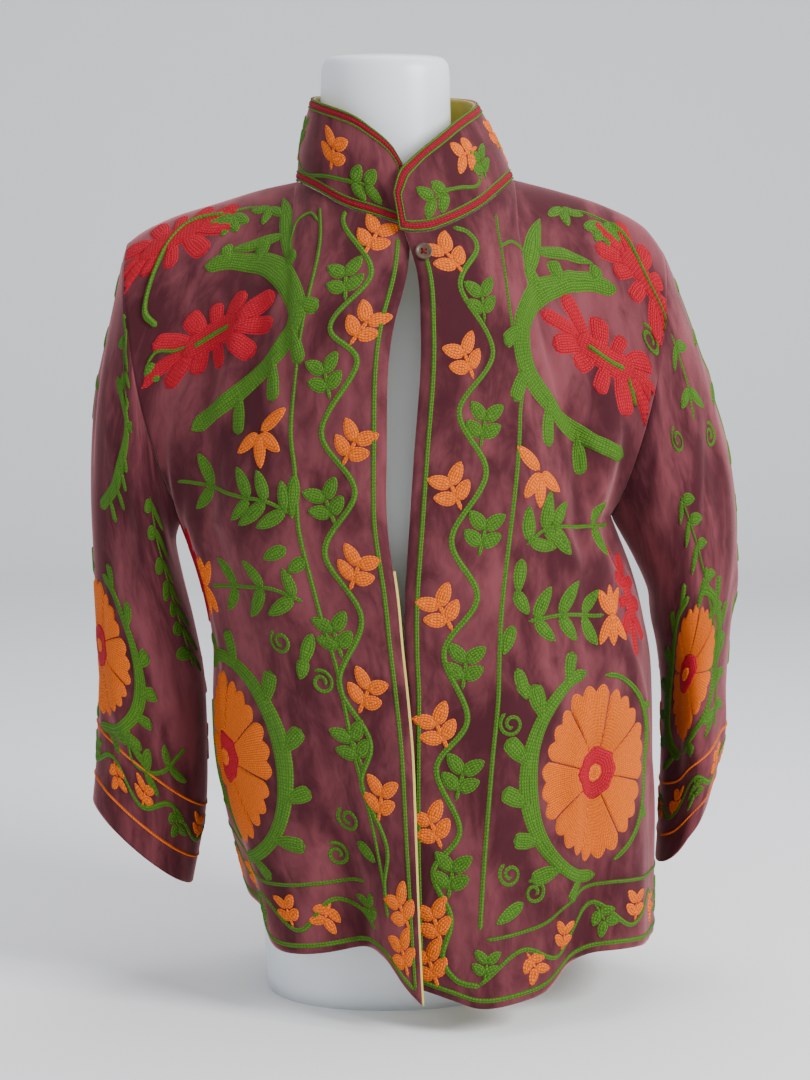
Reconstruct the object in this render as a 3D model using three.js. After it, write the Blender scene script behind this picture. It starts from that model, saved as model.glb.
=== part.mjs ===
// A velvet kimono jacket with a stand collar, worn by a limbless dress form.
// Millimetres, +Z up, the front faces -Y and +X is the viewer's right.
// z = 0 is the flat foot of the form, on the form's own axis.
import * as THREE from 'three';

// ---------------------------------------------------------------- driving dimensions
const VELVET = 2.0; // the velvet with its lining, as one wall
const LINING = 1.0; // the lining where it shows alone
const SEAM = 0.3; // gap between two pieces that are sewn together

const ARMPIT = 433; // height of both armpits
const NECK_LEVEL = 700; // height where the front edges meet the neckline
const NECK_CENTRE = 18; // middle of the neckline, across
const NECK_HALF = 99; // half the neckline's width, shoulder to shoulder
const NECK_FRONT = 100; // how far the neckline reaches forwards
const NECK_BACK = 62; // and backwards
const ARMHOLE_HALF_DEPTH = 62; // half the armhole, front to back
const SHOULDER_ROUND = 2.4; // higher is squarer over the shoulder
const ARMHOLE_EASE = 1.9; // how fast the armhole leaves the side seam
const ROW_EASE = 1.4; // above 1, rows are closer together near the armpit
const CORNER_EASE = 0.6; // how much columns crowd at the corner of neckline and shoulder
const CORNER_REACH = 0.16; // share of a panel over which that corner rounds off below
const CORNER_ROUND_FROM = 0.2; // share of the upper rows where that rounding is still whole
const CHEST_ROUND = 0.5; // how much of the armhole's round the middle of the chest has
const CHEST_ROUND_TO = 0.3; // share of a panel, from its middle, that is that flat
const EDGE_REACH = 0.35; // share of a front that its loose edge bends
const SIDE_SEAM_HOLD = 8; // higher lets a fold run closer to the side seam before it ends
const TOP_SEAM_HOLD = 4; // the same at the shoulder seam and the neckline
const SLEEVE_HEAD_HOLD = 0.12; // share of a sleeve, from the armhole, where folds grow

const BUTTON_RADIUS = 7.5;
const BUTTON_DEPTH = 1.8;
const BUTTON_BEVEL = 0.6;
const BUTTON_X = 34;
const BUTTON_Z = 670;
const THREAD_HOLE_RADIUS = 0.9;
const THREAD_HOLE_SPACING = 3.4;
const FACING_WIDTH = 1; // lining seen along the left front's edge, in panel columns
const FACING_SHOWS = 0.06; // how far it passes the velvet's edge, in panel columns
const FACING_ROWS = 10; // panel rows that it runs up from the hem

// Share of a panel's columns that end at the neckline, and of its rows below the armpit.
const NECK_SHARE = 5 / 12;
const ARMPIT_SHARE = 11 / 22;
const PANEL_COLUMNS = 12;
const PANEL_ROWS = 22;
const SLEEVE_COLUMNS = 22;
const SLEEVE_ROWS = 16;
const COLLAR_COLUMNS = 40;
const COLLAR_ROWS = 4;
const FACING_SHARE = FACING_ROWS / PANEL_ROWS;

// ---------------------------------------------------------------- tables
function table(names, rows) {
  return rows.map((row) => Object.fromEntries(names.map((name, i) => [name, row[i]])));
}

// Level sections of the jacket's body below the armpits.
const BODY = table(['z', 'centre', 'half', 'front', 'back', 'square'], [
  [20, 63, 184, 166, 150, 2.3],
  [60, 62, 186, 164, 150, 2.3],
  [110, 57, 191, 160, 148, 2.3],
  [160, 50, 197, 156, 146, 2.35],
  [210, 45, 201, 152, 143, 2.35],
  [265, 43, 202, 149, 140, 2.4],
  [320, 41, 200, 146, 136, 2.4],
  [375, 30, 199, 143, 132, 2.4],
  [433, 10, 197, 140, 128, 2.4],
]);

// The two front edges: where they run, and how far each stands out from the body.
const EDGES = table(['z', 'left', 'right', 'leftOut', 'rightOut'], [
  [25, 34, 25, 16, -4],
  [76, 31, 24, 13, -4],
  [161, 27, 21, 10, -3],
  [237, 24, 20, 8, -2],
  [288, 19.6, 20, 6, -1],
  [331, 15, 18, 4, 0],
  [373, 11, 18, 2, 0],
  [438, 2.5, 22, 0, 0],
  [500, 2.5, 26, 0, 0],
  [565, 3.4, 31, 0, 0],
  [604, 8, 31.5, 0, 0.8],
  [650, 19.6, 28.6, -2, 3],
  [690, 24, 16, -5, 6],
]);

const HEM_LEFT = table(['x', 'z'], [
  [-124, 94], [-110, 78], [-90, 62], [-70, 61], [-16, 69], [3, 64], [20, 42], [34, 27],
]);
const HEM_RIGHT = table(['x', 'z'], [
  [25, 40], [59, 31], [80, 25], [105, 26], [140, 34], [162, 50], [185, 60], [214, 60], [246, 54],
]);
const HEM_BACK = table(['x', 'z'], [
  [-124, 94], [-60, 72], [20, 58], [120, 50], [200, 57], [246, 54],
]);

const NECKLINE_LEFT = table(['x', 'z'], [
  [-81, 738], [-60, 727], [-35, 713], [-10, 705], [13, 698], [27, 694],
]);
const NECKLINE_RIGHT = table(['x', 'z'], [
  [11, 687], [25, 685], [48, 689], [84, 708], [105, 727], [117, 740],
]);
const NECKLINE_BACK = table(['x', 'z'], [
  [-81, 738], [-50, 748], [18, 757], [86, 750], [117, 740],
]);
const SHOULDER_LEFT = table(['x', 'z'], [
  [-236, 683], [-216, 696], [-189, 708], [-156, 718], [-113, 731], [-81, 738],
]);
const SHOULDER_RIGHT = table(['x', 'z'], [
  [117, 740], [160, 729], [198, 717], [235, 698], [255, 674],
]);

// The largest folds. `at` and `wide` are shares of the panel from its front edge (or the
// middle of the back) to its side, `z` and `tall` say where a fold is deepest and how far
// it runs, `out` is its height or, below nought, its depth, and `lean` its slant.
const FOLD_COLUMNS = ['at', 'wide', 'z', 'tall', 'out', 'lean'];
const FOLDS_LEFT = table(FOLD_COLUMNS, [
  [0.19, 0.08, 20, 190, -24, 0.0001],
  [0.47, 0.15, 10, 230, 12, 0.0002],
  [0.76, 0.1, 60, 170, -9, 0.0003],
  [0.84, 0.1, 505, 60, 9, -0.001],
  [0.6, 0.12, 400, 90, -5, 0.001],
]);
const FOLDS_RIGHT = table(FOLD_COLUMNS, [
  [0.14, 0.1, 20, 200, 12, 0.0001],
  [0.42, 0.08, 30, 150, -15, 0.0003],
  [0.66, 0.13, 40, 220, 8, 0.0002],
  [0.8, 0.09, 500, 42, 15, 0.001],
  [0.82, 0.08, 415, 34, -10, 0.001],
]);
const FOLDS_BACK = table(FOLD_COLUMNS, [
  [-0.62, 0.1, 20, 260, 12, 0.0002],
  [-0.36, 0.09, 20, 300, -11, 0.0001],
  [-0.08, 0.1, 10, 320, 12, 0],
  [0.2, 0.09, 20, 280, -12, 0],
  [0.46, 0.1, 10, 300, 12, -0.0001],
  [0.72, 0.1, 40, 220, -10, -0.0002],
  [0.05, 0.3, 640, 60, 5, 0],
]);

// Sleeve sections: the ends of each slanted ring seen from the front, and its depth.
const SLEEVE_COLUMN_NAMES = ['outerX', 'outerZ', 'innerX', 'innerZ', 'middleY', 'depth'];
const SLEEVE_LEFT = table(SLEEVE_COLUMN_NAMES, [
  [-252, 615, -194, 406, 4, 64],
  [-267, 545, -188, 374, 6, 65],
  [-272, 465, -178, 332, 8, 63],
  [-270, 385, -169, 283, 9, 60],
  [-266, 305, -166, 225, 8, 57],
  [-265, 238, -167, 160, 4, 54],
  [-271, 171, -179, 92, -2, 51],
]);
const SLEEVE_RIGHT = table(SLEEVE_COLUMN_NAMES, [
  [279, 612, 229, 394, 6, 64],
  [300, 554, 243, 362, 10, 64],
  [319, 484, 251, 324, 14, 62],
  [326, 408, 256, 280, 18, 59],
  [322, 342, 257, 234, 20, 57],
  [317, 280, 257, 190, 20, 55],
  [315, 224, 256, 150, 18, 53],
  [301, 172, 253, 108, 15, 51],
]);
// Sleeve folds: `turn` in degrees from the outer edge over the front, `along` from the
// armhole (0) to the cuff (1), `spread` and `run` their reach, `twist` the slant.
const SLEEVE_FOLD_COLUMNS = ['turn', 'spread', 'along', 'run', 'out', 'twist'];
const SLEEVE_FOLDS_LEFT = table(SLEEVE_FOLD_COLUMNS, [
  [70, 26, 0.45, 0.16, -8, -120],
  [120, 22, 0.3, 0.14, 6, -80],
  [60, 20, 0.75, 0.1, 5, 60],
  [250, 26, 0.5, 0.2, -8, 100],
  [300, 24, 0.7, 0.16, 5, -60],
]);
const SLEEVE_FOLDS_RIGHT = table(SLEEVE_FOLD_COLUMNS, [
  [100, 20, 0.6, 0.26, 9, -70],
  [145, 24, 0.66, 0.24, -8, -60],
  [50, 22, 0.33, 0.1, -6, 90],
  [240, 26, 0.45, 0.2, -8, -90],
  [290, 24, 0.72, 0.16, 6, 60],
]);

// The stand collar's upper edge by turn about the neck, 0 at the back and left negative.
const COLLAR_TOP = table(['turn', 'z'], [
  [-186, 746], [-180, 764], [-165, 781], [-150, 793], [-120, 806], [-90, 815], [-45, 821],
  [0, 823], [45, 819], [90, 811], [115, 800], [130, 790], [145, 777], [160, 763],
  [172, 750], [179, 740], [184, 722],
]);
const COLLAR_CENTRE = 6;
const COLLAR_HALF = 73;
const COLLAR_FRONT = 88;
const COLLAR_BACK = 60;
const COLLAR_BULGE = 3;
const COLLAR_TUCKS_IN = 5; // the left end, under
const COLLAR_STANDS_OUT = 4; // the right end, over
const COLLAR_HEIGHT = 76; // where the two rings are this far apart
const COLLAR_ENDS_FROM = 120; // the turn where the two ends begin to cross
const COLLAR_SEAM_LIFT = 0.6; // the collar's lower edge above the neckline

// The dress form, level sections from its foot to the top of its neck.
const FORM = table(['z', 'half', 'front', 'back', 'square'], [
  [0, 110, 100, 92, 2.3],
  [60, 114, 104, 95, 2.3],
  [120, 119, 104, 96, 2.3],
  [190, 123, 98, 92, 2.3],
  [270, 128, 94, 88, 2.3],
  [360, 143, 104, 92, 2.3],
  [440, 158, 115, 98, 2.3],
  [520, 168, 110, 98, 2.3],
  [590, 176, 95, 92, 2.2],
  [640, 184, 77, 79, 2.0],
  [670, 187, 63, 67, 1.75],
  [690.6, 184, 55, 58, 1.55],
  [703.6, 172, 52, 54, 1.45],
  [714.6, 150, 51, 53, 1.4],
  [724.6, 112, 52, 52, 1.5],
  [730.6, 88, 52, 51, 1.7],
  [738.6, 71, 53, 50, 1.9],
  [756, 62, 54, 50, 2.0],
  [800, 59.5, 54, 50, 2.0],
  [836, 59.5, 54, 50, 2.0],
  [845, 58, 52.5, 48.5, 2.0],
  [850, 54.5, 49, 45, 2.0],
  [853, 48, 43, 39, 2.0],
]);
const FORM_SIDES = 32;
const FORM_TOP = 855;
const FORM_CAP_TILT = 0.1; // the neck's cap falls forwards by this much per millimetre
const FORM_CAP_FROM = 790; // height where that tilt begins

// ---------------------------------------------------------------- small helpers
const { lerp, degToRad, radToDeg, clamp, smoothstep } = THREE.MathUtils;
const bell = (distance, reach) => Math.exp(-((distance / reach) ** 2));
const signedPower = (value, power) => Math.sign(value) * Math.abs(value) ** power;

// Reads one named column of a table as a smooth curve along another column.
function reader(rows, along, name) {
  const slope = (i) => {
    const a = rows[Math.max(i - 1, 0)];
    const b = rows[Math.min(i + 1, rows.length - 1)];
    return (b[name] - a[name]) / (b[along] - a[along]);
  };
  return (at) => {
    let i = 0;
    while (i < rows.length - 2 && at > rows[i + 1][along]) i += 1;
    const span = rows[i + 1][along] - rows[i][along];
    const t = clamp((at - rows[i][along]) / span, 0, 1);
    const start = (2 * t ** 3 - 3 * t ** 2 + 1) * rows[i][name];
    const end = (3 * t ** 2 - 2 * t ** 3) * rows[i + 1][name];
    const startSlope = (t ** 3 - 2 * t ** 2 + t) * span * slope(i);
    const endSlope = (t ** 3 - t ** 2) * span * slope(i + 1);
    return start + end + startSlope + endSlope;
  };
}

function readers(rows, along) {
  const names = Object.keys(rows[0]).filter((name) => name !== along);
  return Object.fromEntries(names.map((name) => [name, reader(rows, along, name)]));
}

// The unit normal of a surface at (u, v). `facing` is 1 or -1 and turns it outwards.
function normalOf(surface, u, v, facing) {
  const step = 1e-3;
  const across = surface(u + step, v).sub(surface(u - step, v));
  const up = surface(u, v + step).sub(surface(u, v - step));
  return across.cross(up).normalize().multiplyScalar(facing);
}

// Keeps (u, v) on the panel, so that a normal at its edge uses the panel alone.
function bounded(surface, low, high) {
  return (u, v) => surface(clamp(u, low, high), clamp(v, 0, 1));
}

function signedVolume(points, triangles) {
  const cross = new THREE.Vector3();
  let sum = 0;
  for (const [a, b, c] of triangles) {
    sum += points[a].dot(cross.crossVectors(points[b], points[c]));
  }
  return sum / 6;
}

function geometryOf(points, triangles) {
  const turned = signedVolume(points, triangles) < 0;
  const index = triangles.flatMap(([a, b, c]) => (turned ? [a, c, b] : [a, b, c]));
  const geometry = new THREE.BufferGeometry().setFromPoints(points);
  geometry.setIndex(index);
  geometry.computeVertexNormals();
  return geometry;
}

// A closed wall: the surface's outside, its inside `thick` below, and the rims between.
// `lift` moves the whole wall out from the surface, and `round` joins the last column to
// the first. `edgeNormal` may give the normal at a seam.
function wall(surface, shape) {
  const { from = 0, to = 1, columns, rows, thick, lift = 0, facing = 1, round = false } = shape;
  const width = round ? columns : columns + 1;
  const outer = [];
  const inner = [];
  for (let row = 0; row <= rows; row += 1) {
    for (let column = 0; column < width; column += 1) {
      const u = lerp(from, to, column / columns);
      const v = row / rows;
      const normal = shape.edgeNormal?.(u, v) ?? normalOf(surface, u, v, facing);
      const point = surface(u, v);
      outer.push(point.clone().addScaledVector(normal, lift));
      inner.push(point.clone().addScaledVector(normal, lift - thick));
    }
  }
  const count = outer.length;
  const at = (row, column) => row * width + (column % width);
  const triangles = [];
  const quad = (a, b, c, d) => triangles.push([a, b, c], [a, c, d]);
  for (let row = 0; row < rows; row += 1) {
    for (let column = 0; column < columns; column += 1) {
      const [a, b] = [at(row, column), at(row, column + 1)];
      const [d, c] = [at(row + 1, column), at(row + 1, column + 1)];
      quad(a, b, c, d);
      quad(a + count, d + count, c + count, b + count);
    }
  }
  for (let column = 0; column < columns; column += 1) {
    const [a, b] = [at(0, column), at(0, column + 1)];
    quad(a, a + count, b + count, b);
    const [c, d] = [at(rows, column), at(rows, column + 1)];
    quad(d, d + count, c + count, c);
  }
  for (let row = 0; row < rows && !round; row += 1) {
    const [a, b] = [at(row, 0), at(row + 1, 0)];
    quad(b, b + count, a + count, a);
    const [c, d] = [at(row, columns), at(row + 1, columns)];
    quad(c, c + count, d + count, d);
  }
  return geometryOf([...outer, ...inner], triangles);
}

// ---------------------------------------------------------------- the jacket's body
const body = readers(BODY, 'z');
const edges = readers(EDGES, 'z');
const hem = {
  left: reader(HEM_LEFT, 'x', 'z'),
  right: reader(HEM_RIGHT, 'x', 'z'),
  back: reader(HEM_BACK, 'x', 'z'),
};
const neckline = {
  left: reader(NECKLINE_LEFT, 'x', 'z'),
  right: reader(NECKLINE_RIGHT, 'x', 'z'),
  back: reader(NECKLINE_BACK, 'x', 'z'),
};
const shoulder = {
  left: { height: reader(SHOULDER_LEFT, 'x', 'z'), tip: -236 },
  right: { height: reader(SHOULDER_RIGHT, 'x', 'z'), tip: 255 },
};
const HEM_LEVEL = 60; // the height whose section finds a column's place on the hem

const PANELS = {
  front_left: { side: 'left', way: -1, depth: 'front', face: -1, folds: FOLDS_LEFT },
  front_right: { side: 'right', way: 1, depth: 'front', face: -1, folds: FOLDS_RIGHT },
  back: { side: 'back', depth: 'back', face: 1, folds: FOLDS_BACK },
};

// The ring angle of a column: nought in the middle, a right angle at a side seam.
function columnAngle(panel, u, z) {
  if (panel.side === 'back') return (u * Math.PI) / 2;
  const square = body.square(z);
  const offset = (edges[panel.side](z) - body.centre(z)) / body.half(z);
  const edgeAngle = Math.asin(signedPower(offset, square / 2));
  return lerp(edgeAngle, (panel.way * Math.PI) / 2, u);
}

function ringPoint(panel, u, z) {
  const angle = columnAngle(panel, u, z);
  const power = 2 / body.square(z);
  const x = body.centre(z) + body.half(z) * signedPower(Math.sin(angle), power);
  const depth = body[panel.depth](z) * Math.max(Math.cos(angle), 0) ** power;
  return new THREE.Vector3(x, panel.face * depth, z);
}

// The upper end of a column, on the neckline or on the shoulder seam.
function columnTop(panel, u) {
  const way = panel.way ?? (u < 0 ? -1 : 1);
  const sideName = way < 0 ? 'left' : 'right';
  const share = panel.side === 'back' ? Math.abs(u) : u;
  const reach = panel.depth === 'front' ? NECK_FRONT : NECK_BACK;
  if (share <= NECK_SHARE) {
    const part = share / NECK_SHARE;
    const along = part + CORNER_EASE * (part - part ** 2);
    const start = panel.side === 'back' ? 0 : (edges[panel.side](NECK_LEVEL) - NECK_CENTRE) / NECK_HALF;
    const turn = lerp(Math.asin(start * way), Math.PI / 2, along);
    const x = NECK_CENTRE + way * NECK_HALF * Math.sin(turn);
    return new THREE.Vector3(x, panel.face * reach * Math.cos(turn), neckline[panel.side](x));
  }
  const part = (share - NECK_SHARE) / (1 - NECK_SHARE);
  const along = part - CORNER_EASE * (part - part ** 2);
  const x = lerp(NECK_CENTRE + way * NECK_HALF, shoulder[sideName].tip, along);
  return new THREE.Vector3(x, 0, shoulder[sideName].height(x));
}

// The same, with its corner rounded off for rows below the top one.
function roundedTop(panel, u, v) {
  const share = Math.abs(u);
  const reach = Math.min(CORNER_REACH, 1 - share, panel.side === 'back' ? 1 : share);
  const top = columnTop(panel, u);
  if (reach <= 0) return top;
  const mean = new THREE.Vector3();
  for (const step of [-1, -0.5, 0, 0.5, 1]) {
    mean.addScaledVector(columnTop(panel, u + step * reach), 1 / 5);
  }
  return mean.lerp(top, smoothstep(v, CORNER_ROUND_FROM, 1));
}

// A column above the armpit: round over the chest or shoulder blade to its upper end,
// with the armhole's own round at the side.
function upperPoint(panel, u, v) {
  const low = ringPoint(panel, u, ARMPIT);
  const top = roundedTop(panel, u, v);
  const lowDepth = Math.max(Math.abs(low.y), 1e-6);
  const topAngle = Math.acos(clamp(Math.abs(top.y) / lowDepth, 0, 1));
  const angle = v ** ROW_EASE * topAngle;
  const rise = (Math.sin(angle) / Math.sin(topAngle)) ** (2 / SHOULDER_ROUND);
  const k = clamp(rise, 0, 1);
  const z = lerp(ARMPIT, top.z, k);
  let x = lerp(low.x, top.x, 1 - (1 - k) ** ARMHOLE_EASE);
  if (panel.side !== 'back') {
    const edgeLow = edges[panel.side](ARMPIT);
    const edgeTop = edges[panel.side](NECK_LEVEL);
    const plain = lerp(edgeLow, edgeTop, 1 - (1 - k) ** ARMHOLE_EASE);
    x += (edges[panel.side](z) - plain) * (1 - clamp(u, 0, 1)) ** 2;
  }
  const sideways = lerp(CHEST_ROUND, 1, smoothstep(Math.abs(u), CHEST_ROUND_TO, 1));
  const round = sideways * ARMHOLE_HALF_DEPTH * 2 * Math.sqrt(k * (1 - k));
  return new THREE.Vector3(x, panel.face * Math.hypot(lowDepth * Math.cos(angle), round), z);
}

function lowerPoint(panel, u, v) {
  const low = hem[panel.side](ringPoint(panel, u, HEM_LEVEL).x);
  return ringPoint(panel, u, lerp(low, ARMPIT, v));
}

function plainPanel(panel) {
  return (u, v) => {
    if (v <= ARMPIT_SHARE) return lowerPoint(panel, u, v / ARMPIT_SHARE);
    return upperPoint(panel, u, (v - ARMPIT_SHARE) / (1 - ARMPIT_SHARE));
  };
}

function foldHeight(folds, u, z) {
  let sum = 0;
  for (const fold of folds) {
    const centre = fold.at + fold.lean * (z - fold.z);
    sum += fold.out * bell(u - centre, fold.wide) * bell(z - fold.z, fold.tall);
  }
  return sum;
}

// A body panel with its folds. Sewn edges stay where the plain panel has them.
function bodyPanel(name) {
  const panel = PANELS[name];
  const low = panel.side === 'back' ? -1 : -0.05;
  const plain = bounded(plainPanel(panel), low, 1);
  const facing = panel.side === 'left' || panel.side === 'back' ? -1 : 1;
  const seamShift = new THREE.Vector3(0, (panel.face * SEAM) / 2, 0);
  const surface = (u, v) => {
    const point = plain(u, v);
    const upper = Math.max(0, (v - ARMPIT_SHARE) / (1 - ARMPIT_SHARE));
    const sideHold = 1 - Math.min(Math.abs(u), 1) ** SIDE_SEAM_HOLD;
    const topHold = 1 - upper ** TOP_SEAM_HOLD;
    let out = foldHeight(panel.folds, u, point.z) * sideHold * topHold;
    if (panel.side !== 'back') {
      const loose = 1 - smoothstep(u, 0, EDGE_REACH);
      out += edges[`${panel.side}Out`](point.z) * loose;
    }
    const normal = normalOf(plain, u, v, facing);
    return point.addScaledVector(normal, out).add(seamShift);
  };
  return { surface: bounded(surface, low, 1), facing };
}

// ---------------------------------------------------------------- sleeves
// How high a panel's side has climbed the armhole at its row v, from 0 to 1.
function armholeRise(v) {
  const upper = clamp((v - ARMPIT_SHARE) / (1 - ARMPIT_SHARE), 0, 1);
  return Math.sin((upper ** ROW_EASE * Math.PI) / 2) ** (2 / SHOULDER_ROUND);
}

// The turn about a sleeve of its column u, so that its columns start on panel rows.
function sleeveTurn(u) {
  const lap = Math.floor(u);
  const part = u - lap;
  const row = lerp(ARMPIT_SHARE, 1, Math.abs(1 - 2 * part));
  const turn = Math.acos(clamp(2 * armholeRise(row) - 1, -1, 1));
  return lap * 2 * Math.PI + (part <= 0.5 ? turn : 2 * Math.PI - turn);
}

function armholePoint(way, turn) {
  const panel = PANELS[way < 0 ? 'front_left' : 'front_right'];
  const k = (1 + Math.cos(turn)) / 2;
  const low = ringPoint(panel, 1, ARMPIT);
  const top = columnTop(panel, 1);
  const x = lerp(low.x, top.x, 1 - (1 - k) ** ARMHOLE_EASE);
  const y = -ARMHOLE_HALF_DEPTH * Math.sin(turn);
  return new THREE.Vector3(x + way * SEAM, y, lerp(ARMPIT, top.z, k));
}

function sleeveRing(section, turn) {
  const middleX = (section.outerX + section.innerX) / 2;
  const middleZ = (section.outerZ + section.innerZ) / 2;
  return new THREE.Vector3(
    middleX + ((section.outerX - section.innerX) / 2) * Math.cos(turn),
    section.middleY - section.depth * Math.sin(turn),
    middleZ + ((section.outerZ - section.innerZ) / 2) * Math.cos(turn),
  );
}

// A sleeve from its armhole (v = 0) to its cuff (v = 1); u goes once round it, from the
// outer edge over the front.
function sleeve(way) {
  const sections = way < 0 ? SLEEVE_LEFT : SLEEVE_RIGHT;
  const folds = way < 0 ? SLEEVE_FOLDS_LEFT : SLEEVE_FOLDS_RIGHT;
  const plain = (u, v) => {
    const turn = sleeveTurn(u);
    const rings = [armholePoint(way, turn), ...sections.map((row) => sleeveRing(row, turn))];
    const place = clamp(v, 0, 1) * sections.length;
    const i = Math.min(Math.floor(place), sections.length - 1);
    const t = place - i;
    const before = rings[Math.max(i - 1, 0)];
    const after = rings[Math.min(i + 2, sections.length)];
    const startSlope = rings[i + 1].clone().sub(before).multiplyScalar(i > 0 ? 0.5 : 1);
    const endSlope = after.clone().sub(rings[i]).multiplyScalar(i + 2 > sections.length ? 1 : 0.5);
    return new THREE.Vector3()
      .addScaledVector(rings[i], 2 * t ** 3 - 3 * t ** 2 + 1)
      .addScaledVector(startSlope, t ** 3 - 2 * t ** 2 + t)
      .addScaledVector(rings[i + 1], 3 * t ** 2 - 2 * t ** 3)
      .addScaledVector(endSlope, t ** 3 - t ** 2);
  };
  const surface = (u, v) => {
    const turn = sleeveTurn(u);
    let out = 0;
    for (const fold of folds) {
      const centre = fold.turn + fold.twist * (v - fold.along);
      const away = ((((radToDeg(turn) - centre + 180) % 360) + 360) % 360) - 180;
      out += fold.out * bell(away, fold.spread) * bell(v - fold.along, fold.run);
    }
    const hold = smoothstep(v, 0, SLEEVE_HEAD_HOLD);
    return plain(u, v).addScaledVector(normalOf(plain, u, v, way), out * hold);
  };
  return { surface, facing: way };
}

const OWN_NORMAL_TO = 0.15; // shares of the armhole's height, up from the armpit
const SHARED_NORMAL_FROM = 0.4;

// At an armhole the panel and the sleeve share one normal, square to the armhole's loop,
// so that their walls end side by side; near the armpit each keeps its own.
function armholeNormals(way) {
  const front = bodyPanel(way < 0 ? 'front_left' : 'front_right');
  const back = bodyPanel('back');
  const arm = sleeve(way);
  const halfHeight = (armholePoint(way, 0).z - ARMPIT) / 2;
  return (u) => {
    const panel = u <= 0.5 ? front : back;
    const side = panel === back ? way : 1;
    const v = lerp(ARMPIT_SHARE, 1, Math.abs(1 - 2 * u));
    const ofPanel = normalOf(panel.surface, side, v, panel.facing);
    const ofSleeve = normalOf(arm.surface, u, 0.001, arm.facing);
    const turn = sleeveTurn(u);
    const shared = new THREE.Vector3(
      0,
      -Math.sin(turn) / ARMHOLE_HALF_DEPTH,
      Math.cos(turn) / halfHeight,
    ).normalize();
    const share = smoothstep(armholeRise(v), OWN_NORMAL_TO, SHARED_NORMAL_FROM);
    return {
      panel: ofPanel.lerp(shared, share).normalize(),
      sleeve: ofSleeve.lerp(shared, share).normalize(),
    };
  };
}

const armholes = { left: armholeNormals(-1), right: armholeNormals(1) };

function panelEdgeNormal(panel) {
  return (u, v) => {
    if (v <= ARMPIT_SHARE || Math.abs(u) < 1) return undefined;
    const half = (1 - (v - ARMPIT_SHARE) / (1 - ARMPIT_SHARE)) / 2;
    const way = panel.way ?? Math.sign(u);
    return armholes[way < 0 ? 'left' : 'right'](panel.face < 0 ? half : 1 - half).panel;
  };
}

// ---------------------------------------------------------------- collar
const collarTop = reader(COLLAR_TOP, 'turn', 'z');
const COLLAR_LEFT_END = -185;
const COLLAR_RIGHT_END = 183.5;

const COLLAR_ROOTS = {
  left: bodyPanel('front_left').surface,
  right: bodyPanel('front_right').surface,
  back: bodyPanel('back').surface,
};

// The point of a panel's neckline at a column, on the chord between whole columns.
function necklineChord(surface, column, first) {
  const whole = Math.max(Math.floor(column), first);
  const next = surface((whole + 1) / PANEL_COLUMNS, 1);
  return surface(whole / PANEL_COLUMNS, 1).lerp(next, column - whole);
}

// The share of the neckline's columns at a share of its turn: the corner's ease undone.
function columnShare(along) {
  if (along < 0) return along / (1 + CORNER_EASE);
  const grow = 1 + CORNER_EASE;
  return (grow - Math.sqrt(grow ** 2 - 4 * CORNER_EASE * along)) / (2 * CORNER_EASE);
}

// The point of the neckline that the collar is sewn to, by turn about the neck.
function collarRoot(turn) {
  const columns = NECK_SHARE * PANEL_COLUMNS;
  if (Math.abs(turn) <= 90) {
    const column = Math.sign(turn) * columnShare(Math.abs(turn) / 90) * columns;
    return necklineChord(COLLAR_ROOTS.back, column, -columns);
  }
  const side = turn < 0 ? 'left' : 'right';
  const way = Math.sign(turn);
  const edgeTurn = Math.asin((way * (edges[side](NECK_LEVEL) - NECK_CENTRE)) / NECK_HALF);
  const share = (degToRad(180 - Math.abs(turn)) - edgeTurn) / (Math.PI / 2 - edgeTurn);
  return necklineChord(COLLAR_ROOTS[side], columnShare(share) * columns, 0);
}

function collarSurface(u, v) {
  const turn = lerp(COLLAR_LEFT_END, COLLAR_RIGHT_END, clamp(u, 0, 1));
  const [sine, cosine] = [Math.sin(degToRad(turn)), Math.cos(degToRad(turn))];
  const root = collarRoot(turn);
  root.z += COLLAR_SEAM_LIFT;
  const height = collarTop(turn) - root.z;
  const ends = smoothstep(Math.abs(turn), COLLAR_ENDS_FROM, 180);
  const out = (turn < 0 ? -COLLAR_TUCKS_IN : COLLAR_STANDS_OUT) * ends;
  const full = new THREE.Vector3(
    COLLAR_CENTRE + (COLLAR_HALF + out) * sine,
    cosine * ((cosine > 0 ? COLLAR_BACK : COLLAR_FRONT) + out),
    root.z + COLLAR_HEIGHT,
  );
  const rise = (clamp(v, 0, 1) * height) / COLLAR_HEIGHT;
  const bulge = COLLAR_BULGE * Math.sin(Math.min(rise, 1) * Math.PI);
  return root.lerp(full, rise).add(new THREE.Vector3(bulge * sine, bulge * cosine, 0));
}

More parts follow.
